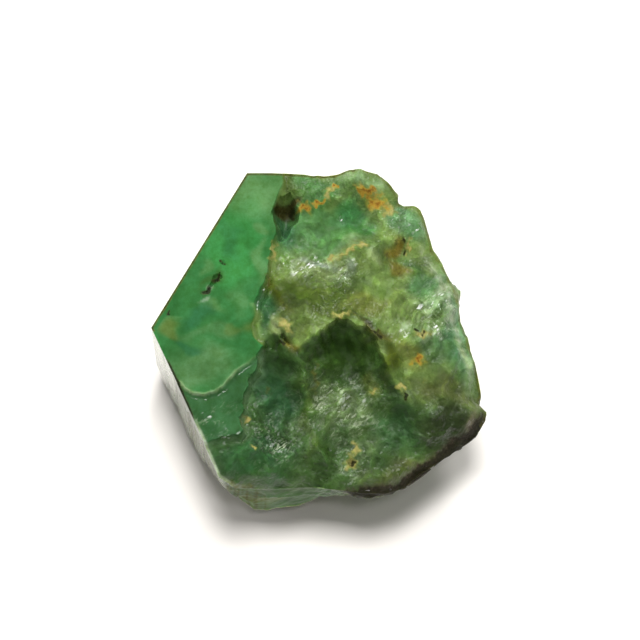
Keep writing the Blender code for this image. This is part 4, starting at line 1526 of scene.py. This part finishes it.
@dataclass(frozen=True)
class Crystal:
    """The whole stone: rim, top, sides and bottom."""

    top: BrokenTop = field(default_factory=BrokenTop)
    colours: StoneColours = field(default_factory=StoneColours)
    frost_and_reflection: FrostAndFloorReflection = field(default_factory=FrostAndFloorReflection)
    mica: MicaBand = field(default_factory=MicaBand)
    lines: EdgeLines = field(default_factory=EdgeLines)
    finish: RoughBeryl = field(default_factory=RoughBeryl)
    grid: int = 90  # divisions along each edge of the blank
    first_corner: float = 30.0
    corners: Points = (
        (4.7, 13.9), (-5.6, 13.9), (-13.0, 1.2), (-7.7, -10.3), (6.8, -10.5), (13.2, -4.5),
    )
    rim: Points = (
        (-5.6, 13.9), (-13.0, 1.2), (-7.7, -10.3),
        (-6.5, -10.9), (-4.4, -10.7), (-1.4, -10.5), (0.9, -10.8), (3.3, -10.9), (5.2, -10.9),
        (6.8, -10.5), (8.3, -9.4), (9.5, -8.4), (10.7, -7.5), (11.7, -6.9), (12.5, -6.3),
        (13.1, -5.2), (13.2, -4.5), (12.6, -3.9), (12.9, -3.3), (12.8, -2.4), (12.5, -1.0),
        (12.0, 0.2), (11.8, 1.4), (11.2, 2.5), (10.9, 4.0), (10.7, 5.1), (10.2, 6.3),
        (9.7, 7.1), (9.0, 8.1), (8.6, 9.4), (8.3, 10.7), (8.0, 11.2), (7.5, 11.5), (6.8, 11.5),
        (6.3, 11.8), (6.3, 12.4), (5.7, 13.1), (4.7, 13.9), (3.4, 14.1), (2.2, 14.1),
        (1.5, 13.9), (0.5, 13.8), (-1.4, 13.8), (-3.7, 13.9),
    )
    taper: Points = (
        (0, 0.84), (30, 0.88), (63, 0.93), (90, 0.97), (100, 1.0), (112, 1.0), (174, 1.0),
        (218, 1.0), (228, 0.96), (234, 0.91), (240, 0.92), (250, 1.03), (262, 1.02), (271, 0.93),
        (276, 0.87), (288, 0.80), (300, 0.74), (320, 0.72), (340, 0.76),
    )
    side_foot: Points = (
        (0, 5.0), (30, 3.5), (63, 2.5), (90, 2.0), (112, 1.5), (140, 1.0), (160, 2.0),
        (174, 3.8), (179, 2.6), (185, 3.1), (192, 3.4), (198, 4.4), (203, 2.6), (212, 3.8),
        (222, 5.2), (228, 4.4), (234, 3.6), (240, 3.8), (250, 4.0), (262, 4.4), (271, 5.2),
        (280, 4.8), (300, 5.4), (320, 6.0), (340, 5.8),
    )
    side_curve: float = 1.7
    rim_roll: Points = ((0, 0.8), (236, 0.8), (244, 1.7), (262, 1.7), (272, 0.8))
    roll_share: float = 0.9  # where the top starts to roll over
    roll_end: float = 1.05
    swell_power: int = 3  # how soon the rim's own shape fades out towards the axis
    groove_power: int = 8
    rest_share: float = 0.5  # share of the bottom that is flat
    rest_margin: float = 0.25
    rest_sink: float = 0.4
    edge_band: float = 0.12
    edge_push: float = 0.3  # how far chips move the edge itself
    rim_calm: float = 0.5
    whole_from: float = 97.0
    whole_to: float = 232.0
    face_fade: float = 6.0
    lobe: Stretch = Stretch(236.0, 244.0, 266.0, 276.0)
    grooves: Rows = (
        (104, 1.3, 0.10), (111, 0.8, 0.07), (121, 2.2, 0.12), (133, 0.9, 0.10),
        (141, 1.2, 0.07), (154, 1.8, 0.12), (162, 0.8, 0.08), (184, 1.0, 0.08),
        (192, 1.8, 0.12), (207, 1.2, 0.10), (219, 0.9, 0.10),
    )
    chip_layers: Rows = (
        (4.4, 1.15, 10.0), (2.0, 0.5, 20.0), (0.9, 0.24, 30.0), (0.45, 0.10, 40.0),
    )
    chip_level: float = 0.35
    lobe_below: float = 3.0  # chips smaller than this are calmed on the lobe
    lobe_calm: float = 0.6
    calm_below: float = 1.0  # and smaller than this where the break is calm
    calm_share: float = 0.7
    sharp_from: float = 20.0  # degrees
    plate_edge: Span = (-0.15, 0.0)
    side_radius: float = 12.0  # turns angles round the sides into lengths
    side_share: float = 0.85
    under_rim: Span = (0.0, 0.25)
    lobe_chips: float = 0.5
    lobe_calmness: float = 0.95
    hollow_glints: float = 0.7  # how much fewer there are in the hollow
    beside_step: Span = (-0.8, -0.1)
    # painted light on the shaded wall beside the lower plate
    ledge_light_strength: float = 0.75
    facet_lip_highlight: Span = (0.03, 0.09)  # how far outside the facet its painted highlight lies, and its width
    lip_highlight_front: Span = (-2.6, -0.6)
    lip_highlight_strength: float = 0.5

    def rim_radius(self, angle: np.ndarray, outline: Points) -> np.ndarray:
        """How far an outline lies from the axis, at angles in degrees.

        Args:
            angle: the angles.
            outline: the outline's corners.

        Returns:
            The distance at each angle.
        """
        corners = np.array(outline)
        bearings = np.degrees(np.arctan2(corners[:, 1], corners[:, 0])) % 360.0
        order = np.argsort(bearings)
        corners, bearings = corners[order], bearings[order]
        after = np.searchsorted(bearings, angle % 360.0, side="right") % len(corners)
        start, end = corners[after - 1], corners[after]
        run = end - start
        ray = np.column_stack((np.cos(np.radians(angle)), np.sin(np.radians(angle))))
        return (start[:, 0] * run[:, 1] - start[:, 1] * run[:, 0]) / (
            ray[:, 0] * run[:, 1] - ray[:, 1] * run[:, 0]
        )

    def blank(self) -> bmesh.types.BMesh:
        """The six-sided prism primitive, one unit in size, divided into an even grid.

        Returns:
            The blank.
        """
        blank = bmesh.new()
        bmesh.ops.create_cone(
            blank, cap_ends=True, cap_tris=True, segments=6, radius1=1.0, radius2=1.0, depth=1.0
        )
        corner = next(v.co for v in blank.verts if v.co.xy.length > 0.5)
        turn = math.radians(self.first_corner) - math.atan2(corner.y, corner.x)
        matrix = Matrix.Rotation(turn, 3, "Z")
        bmesh.ops.rotate(blank, verts=blank.verts[:], matrix=matrix, cent=(0.0, 0.0, 0.0))
        cuts = self.grid - 1
        bmesh.ops.subdivide_edges(blank, edges=blank.edges[:], cuts=cuts, use_grid_fill=True)
        bmesh.ops.triangulate(blank, faces=blank.faces[:])
        return blank

    def place(self, blank: np.ndarray) -> Form:
        """Where each point of the blank lies on the crystal.

        Args:
            blank: the points of the prism primitive.

        Returns:
            The points in millimetres, which way chips move them, and what the colours need.
        """
        turn = np.degrees(np.arctan2(blank[:, 1], blank[:, 0])) - self.first_corner
        sector = np.floor(turn / 60.0 + NEARLY).astype(int) % 6
        first = np.radians(self.first_corner + 60.0 * sector)
        second = first + math.radians(60.0)
        wide = math.sin(math.radians(60.0))
        to_first = (blank[:, 0] * np.sin(second) - blank[:, 1] * np.cos(second)) / wide
        to_second = (blank[:, 1] * np.cos(first) - blank[:, 0] * np.sin(first)) / wide
        share = np.clip(to_first + to_second, 0.0, 1.0)
        corners = np.array(self.corners)
        plan = to_first[:, None] * corners[sector] + to_second[:, None] * corners[(sector + 1) % 6]
        angle = np.degrees(np.arctan2(plan[:, 1], plan[:, 0]))
        swell = self.rim_radius(angle, self.rim) / self.rim_radius(angle, self.corners)
        plan = plan * (1.0 + (swell - 1.0) * share**self.swell_power)[:, None]

        down = np.clip(0.5 - blank[:, 2], 0.0, 1.0)
        is_top = blank[:, 2] > 0.5 - NEARLY
        is_bottom = blank[:, 2] < -0.5 + NEARLY
        on_edges = np.column_stack(self.top.draw_to_edges(*plan.T))
        plan = np.where((is_top & (share < 1.0 - NEARLY))[:, None], on_edges, plan)
        taper = 1.0 + (round_the_axis(angle, self.taper) - 1.0) * down**self.side_curve
        foot = round_the_axis(angle, self.side_foot)
        x, y = (plan * taper[:, None]).T

        beside = np.maximum(self.whole_from - angle % 360.0, angle % 360.0 - self.whole_to)
        off_faces = smooth_step(beside, 0.0, self.face_fade)
        roll = round_the_axis(angle, self.rim_roll) * off_faces
        roll = roll * smooth_step(share, self.roll_share, self.roll_end)
        rim = self.top.height(*plan.T) - roll
        side = rim + (foot - rim) * down
        bottom = foot * smooth_step(share, self.rest_share, 1.0) - self.rest_sink * (1.0 - share)
        z = np.where(is_bottom & (share < 1.0 - NEARLY), bottom, side)

        below_edge = smooth_step(down, 0.0, self.edge_band)
        bearing = np.radians(angle)
        away = np.column_stack((np.cos(bearing), np.sin(bearing)))
        groove = sum(d * np.exp(-(((angle % 360.0 - a) / w) ** 2)) for a, w, d in self.grooves)
        cut = groove * below_edge * share**self.groove_power
        x, y = (np.column_stack((x, y)) - away * cut[:, None]).T

        near_rim = smooth_step(share, self.roll_share, 1.0)
        rough = np.where(is_top, 1.0 - self.top.flatness(x, y), 1.0)
        rough = rough * (1.0 - near_rim * (1.0 - off_faces))
        under = smooth_step(share, self.rest_share, self.rest_share + self.rest_margin)
        rough = np.where(is_bottom, under, rough)
        sideways = np.where(is_top | is_bottom, near_rim, 1.0)
        outward = sideways * off_faces * (self.edge_push + (1.0 - self.edge_push) * below_edge)
        upward = np.where(is_bottom, -1.0, np.where(is_top, 1.0, 0.0))
        upward = upward * (1.0 - self.rim_calm * near_rim)
        push = np.column_stack((away * outward[:, None], upward)) * rough[:, None]
        return Form(
            points=np.column_stack((x, y, z)),
            push=push,
            share=share,
            down=down,
            angle=angle % 360.0,
            is_top=is_top,
            is_bottom=is_bottom,
            off_faces=off_faces,
            rough=rough,
            lobe=np.where(is_top, 0.0, self.lobe.share(angle % 360.0)),
        )

    def tint(self, form: Form, step: np.ndarray, facet: np.ndarray) -> np.ndarray:
        """The colour of the stone.

        Args:
            form: where the places lie on the crystal.
            step: one on the lower plate.
            facet: one on the basal facet.

        Returns:
            One row of linear red, green and blue for each place.
        """
        x, y, z = form.points.T
        lower, painted_lip_shade = self.top.lower_share(x, y), self.top.painted_lip_shade(x, y)
        tint = self.colours.tints(x, y, lower, painted_lip_shade, step, facet)
        arc = np.radians(form.angle) * self.side_radius
        side = self.colours.blend(Tint.LOBE, self.colours.side_patches, arc, z)
        under = self.colours.blend(Tint.UMBER, self.colours.under_patches, x, y)
        side = np.where(form.is_bottom[:, None], under, side)
        under_rim = smooth_step(form.down, *self.under_rim)
        tint = lay_over(tint, side, self.side_share * under_rim)
        whole = (1.0 - form.off_faces) * np.where(form.is_bottom, 0.0, under_rim)
        tint = self.frost_and_reflection.lay(tint, form, whole, z)
        # painted light on the shaded wall beside the lower plate
        beside_step = smooth_step(self.top.step.outline.inside(x, y), *self.beside_step)
        ledge = self.ledge_light_strength * beside_step * (1.0 - step) * (1.0 - facet) * form.is_top
        # a painted highlight along the lip of the facet
        offset, width = self.facet_lip_highlight
        lip_highlight = np.exp(-(((self.top.facet.outline.inside(x, y) + offset) / width) ** 2))
        lip_highlight = lip_highlight * form.is_top * (1.0 - smooth_step(y, *self.lip_highlight_front))
        for pale, share in (
            (Tint.LEDGE_WALL_LIGHT, ledge),
            (Tint.RIM_HAZE, self.lines.edge_highlight_line(form)),
            (Tint.RIM_HAZE, self.lines.pale_line(form)),
            (Tint.PALE_SPRING, self.lip_highlight_strength * lip_highlight),
        ):
            tint = lay_over(tint, pale.colour, share)
        return tint

    def values(self, form: Form) -> dict[str, np.ndarray]:
        """What the mesh carries for its colours: a tint, and a value for each kind of stain.

        Args:
            form: where the places lie on the crystal.

        Returns:
            The tints and the values, by name.
        """
        x, y = form.points[:, 0], form.points[:, 1]
        facet = smooth_step(self.top.facet.outline.inside(x, y), *self.plate_edge)
        step = smooth_step(self.top.step.outline.inside(x, y), *self.plate_edge) * (1.0 - facet)
        broken = np.where(form.is_bottom, form.rough, form.off_faces)
        broken = np.where(form.is_top, 1.0 - self.top.flatness(x, y), broken)
        masks = {
            name: self.colours.share(ovals, x, y) * form.is_top
            for name, ovals in (
                ("rust", self.colours.rust),
                ("clay", self.colours.clay),
                ("dark", self.colours.dark),
                ("veil", self.colours.veils),
                ("glint", self.colours.glints),
                ("calm", self.colours.calm),
                ("dirt", self.colours.dirt),
            )
        }
        masks["dirt"] = self.lines.dirt(form, masks["dirt"])
        masks["calm"] = np.maximum(masks["calm"], self.lobe_calmness * form.lobe)
        # the dark stain also carries the painted shade along the lower left edge
        masks["dark"] = np.maximum(masks["dark"], self.lines.edge_shade_line(form))
        masks["glint"] *= 1.0 - self.hollow_glints * self.top.lower_share(x, y) * (1.0 - step)
        return {
            "tint": self.tint(form, step, facet),
            "mica": self.mica.share(form),
            "broken": broken * (1.0 - self.lobe_chips * form.lobe),
            **masks,
        }

    def build(self, low: np.ndarray, high: np.ndarray) -> bpy.types.Object:
        """The crystal as one object in metres, kept inside the box of the solid.

        Args:
            low: the lowest corner of the solid's box, in metres.
            high: the highest corner.

        Returns:
            The object.
        """
        blank = self.blank()
        form = self.place(np.array([v.co for v in blank.verts]))
        points = form.points
        calm = self.colours.share(self.colours.calm, *points[:, :2].T) * form.is_top
        noise.seed_set(NOISE_SEED)
        for size, cut, seed in self.chip_layers:
            depth = cut * (chips(points, size, seed) - self.chip_level)
            if size < self.lobe_below:
                depth = depth * (1.0 - self.lobe_calm * form.lobe)
            if size < self.calm_below:
                depth = depth * (1.0 - self.calm_share * calm)
            points = points + form.push * depth[:, None]
        points[:, 2] = np.maximum(points[:, 2], 0.0)
        form.points = np.clip(points, low / MM, high / MM)
        for vertex, point in zip(blank.verts, form.points):
            vertex.co = point * MM
        bmesh.ops.recalc_face_normals(blank, faces=blank.faces[:])
        mesh = bpy.data.meshes.new("crystal")
        blank.to_mesh(mesh)
        blank.free()
        for name, value in self.values(form).items():
            if value.ndim == 2:
                layer = mesh.color_attributes.new(name, "FLOAT_COLOR", "POINT")
                rows = np.column_stack((value, np.ones(len(value))))
                layer.data.foreach_set("color", rows.astype(np.float32).ravel())
            else:
                layer = mesh.attributes.new(name, "FLOAT", "POINT")
                layer.data.foreach_set("value", value.astype(np.float32))
        mesh.polygons.foreach_set("use_smooth", np.ones(len(mesh.polygons), bool))
        mesh.set_sharp_from_angle(angle=math.radians(self.sharp_from))
        mesh.materials.append(self.finish.build())
        crystal = bpy.data.objects.new("crystal", mesh)
        bpy.context.scene.collection.objects.link(crystal)
        return crystal


@dataclass(frozen=True)
class MicaFlakes:
    """Small books of mica that lie along the lower right edge, joined into one piece."""

    count: int = 380
    radius: Span = (0.18, 0.44)
    thickness: Span = (0.04, 0.1)
    narrow: Span = (0.3, 0.6)  # width against length
    smaller: Span = (0.75, 0.95)  # the upper sheet of a book against the lower
    band: float = 0.55  # the least mica for a flake to lie there
    lean: float = 0.07
    twist: float = 0.3
    sunk: float = 0.14
    sides: int = 6
    least_upright: float = 0.05  # no flakes on the undercut side
    inset: float = 0.05
    seed: int = 11
    finish: BiotiteMica = field(default_factory=BiotiteMica)

    def build(
        self, stone: Crystal, crystal: bpy.types.Object, low: np.ndarray, high: np.ndarray
    ) -> bpy.types.Object:
        """The flakes, each lying on the crystal where its mica band is.

        Args:
            stone: the form of the crystal, whose rim the flakes keep within.
            crystal: the crystal, whose mesh says where the band is.
            low: the lowest corner of the solid's box, in metres.
            high: the highest corner.

        Returns:
            The flakes as one object.
        """
        mesh = crystal.data
        band = np.empty(len(mesh.vertices), np.float32)
        mesh.attributes["mica"].data.foreach_get("value", band)
        random = np.random.default_rng(self.seed)
        upright = np.array([vertex.normal.z for vertex in mesh.vertices]) > self.least_upright
        chosen = random.choice(np.flatnonzero((band > self.band) & upright), self.count)
        flakes = bmesh.new()
        for vertex in (mesh.vertices[int(index)] for index in chosen):
            radius = random.uniform(*self.radius) * MM
            thickness = random.uniform(*self.thickness) * MM
            facing = vertex.normal + Vector(random.normal(0.0, self.lean, 3))
            turn = facing.to_track_quat("Z", "Y").to_matrix().to_4x4()
            along_edge = turn.inverted() @ vertex.normal.cross(Vector((0.0, 0.0, 1.0)))
            bearing = math.atan2(along_edge.y, along_edge.x) + random.normal(0.0, self.twist)
            spin = Matrix.Rotation(bearing, 4, "Z")
            stretch = Matrix.Diagonal((1.0, random.uniform(*self.narrow), 1.0, 1.0))
            place = Matrix.Translation(vertex.co - vertex.normal * self.sunk * MM)
            bmesh.ops.create_cone(
                flakes,
                cap_ends=True,
                segments=self.sides,
                radius1=radius,
                radius2=radius * random.uniform(*self.smaller),
                depth=thickness,
                matrix=place @ turn @ spin @ stretch,
            )
        places = np.array([vertex.co for vertex in flakes.verts])
        angle = np.degrees(np.arctan2(places[:, 1], places[:, 0]))
        reach = (stone.rim_radius(angle, stone.rim) - self.inset) * MM
        reach = np.minimum(reach / np.hypot(places[:, 0], places[:, 1]), 1.0)
        places[:, :2] *= reach[:, None]
        for vertex, place in zip(flakes.verts, np.clip(places, low, high)):
            vertex.co = place
        joined = bpy.data.meshes.new("mica_flakes")
        flakes.to_mesh(joined)
        flakes.free()
        joined.materials.append(self.finish.build())
        piece = bpy.data.objects.new("mica_flakes", joined)
        bpy.context.scene.collection.objects.link(piece)
        return piece


# ------------------------------------------------------------
# Studio
# ------------------------------------------------------------


@dataclass(frozen=True)
class Floor:
    """A plain pale floor."""

    half_width: float = 0.9
    finish: WhitePaper = field(default_factory=WhitePaper)

    def build(self) -> bpy.types.Object:
        """The floor as one flat sheet.

        Returns:
            The floor.
        """
        sheet = bmesh.new()
        bmesh.ops.create_grid(sheet, x_segments=1, y_segments=1, size=self.half_width)
        mesh = bpy.data.meshes.new("floor")
        sheet.to_mesh(mesh)
        sheet.free()
        mesh.materials.append(self.finish.build())
        floor = bpy.data.objects.new("floor", mesh)
        bpy.context.scene.collection.objects.link(floor)
        return floor


@dataclass(frozen=True)
class SoftBox:
    """A square light that looks at the stone from a distance."""

    name: str
    azimuth: float
    elevation: float
    distance: float
    size: float
    power: float
    polarised: bool = False  # crossed polarisers keep its mirror image off the stone

    def build(self, target: Vector) -> bpy.types.Object:
        """The light, turned to the target.

        Args:
            target: what the light is turned to.

        Returns:
            The light.
        """
        across, up = math.radians(self.azimuth), math.radians(self.elevation)
        direction = Vector(
            (math.cos(up) * math.sin(across), math.cos(up) * math.cos(across), math.sin(up))
        )
        light = bpy.data.lights.new(self.name, "AREA")
        light.size = self.size
        light.energy = self.power
        lamp = bpy.data.objects.new(self.name, light)
        lamp.location = target + direction * self.distance
        lamp.rotation_euler = direction.to_track_quat("Z", "Y").to_euler()
        lamp.visible_glossy = not self.polarised
        bpy.context.scene.collection.objects.link(lamp)
        return lamp


@dataclass(frozen=True)
class Studio:
    """White surroundings, soft lights and the camera."""

    target: Triple = (0.0, 0.0, 14.0)
    view_elevation: float = 74.0
    view_distance: float = 300.0
    frame_width: float = 49.82
    target_across: float = 318.0 / 640.0
    target_down: float = 342.5 / 640.0
    surroundings: float = 0.16
    boxes: tuple[SoftBox, ...] = (
        SoftBox(
            "overhead",
            azimuth=8.0,
            elevation=83.5,
            distance=0.6,
            size=0.15,
            power=3.65,
            polarised=True,
        ),
        SoftBox("back_window", azimuth=15.0, elevation=50.0, distance=0.7, size=0.15, power=1.7),
        SoftBox("back_lamp", azimuth=-20.0, elevation=52.0, distance=0.7, size=0.05, power=0.3),
        SoftBox("high_lamp", azimuth=150.0, elevation=78.0, distance=0.7, size=0.06, power=0.45),
        SoftBox("left_fill", azimuth=-75.0, elevation=45.0, distance=0.7, size=0.40, power=0.5),
    )

    def camera(self) -> bpy.types.Object:
        """The camera, looking steeply down at the broken top.

        Returns:
            The camera.
        """
        up = math.radians(self.view_elevation)
        direction = Vector((0.0, -math.cos(up), math.sin(up)))
        data = bpy.data.cameras.new("camera")
        data.lens = data.sensor_width * self.view_distance / self.frame_width
        data.shift_x = 0.5 - self.target_across
        data.shift_y = self.target_down - 0.5
        data.clip_start = 0.01
        camera = bpy.data.objects.new("camera", data)
        camera.location = (Vector(self.target) + direction * self.view_distance) * MM
        camera.rotation_euler = direction.to_track_quat("Z", "Y").to_euler()
        bpy.context.scene.collection.objects.link(camera)
        return camera

    def build(self) -> None:
        """Camera, lights and surroundings."""
        scene = bpy.context.scene
        scene.camera = self.camera()
        for box in self.boxes:
            box.build(Vector(self.target) * MM)
        world = bpy.data.worlds.new("surroundings")
        world.use_nodes = True
        backdrop = world.node_tree.nodes["Background"]
        backdrop.inputs["Color"].default_value = (1.0, 1.0, 1.0, 1.0)
        backdrop.inputs["Strength"].default_value = self.surroundings
        scene.world = world
        scene.view_settings.view_transform = "Standard"


def main() -> None:
    """Build the stone and the studio round it, in order."""
    logging.basicConfig(level=logging.INFO, format="%(name)s: %(message)s")
    Studio().build()
    floor = Floor().build()
    log.info("floor: %d faces", len(floor.data.polygons))

    low, high = (np.array(corner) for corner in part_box(NODE))
    stone = Crystal()
    crystal = stone.build(low, high)
    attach(crystal, BODY)
    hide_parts(NODE)
    log.info("crystal: %d faces", len(crystal.data.polygons))

    flakes = MicaFlakes().build(stone, crystal, low, high)
    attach(flakes, BODY)
    log.info("mica flakes: %d faces", len(flakes.data.polygons))


if __name__ == "__main__":
    main()
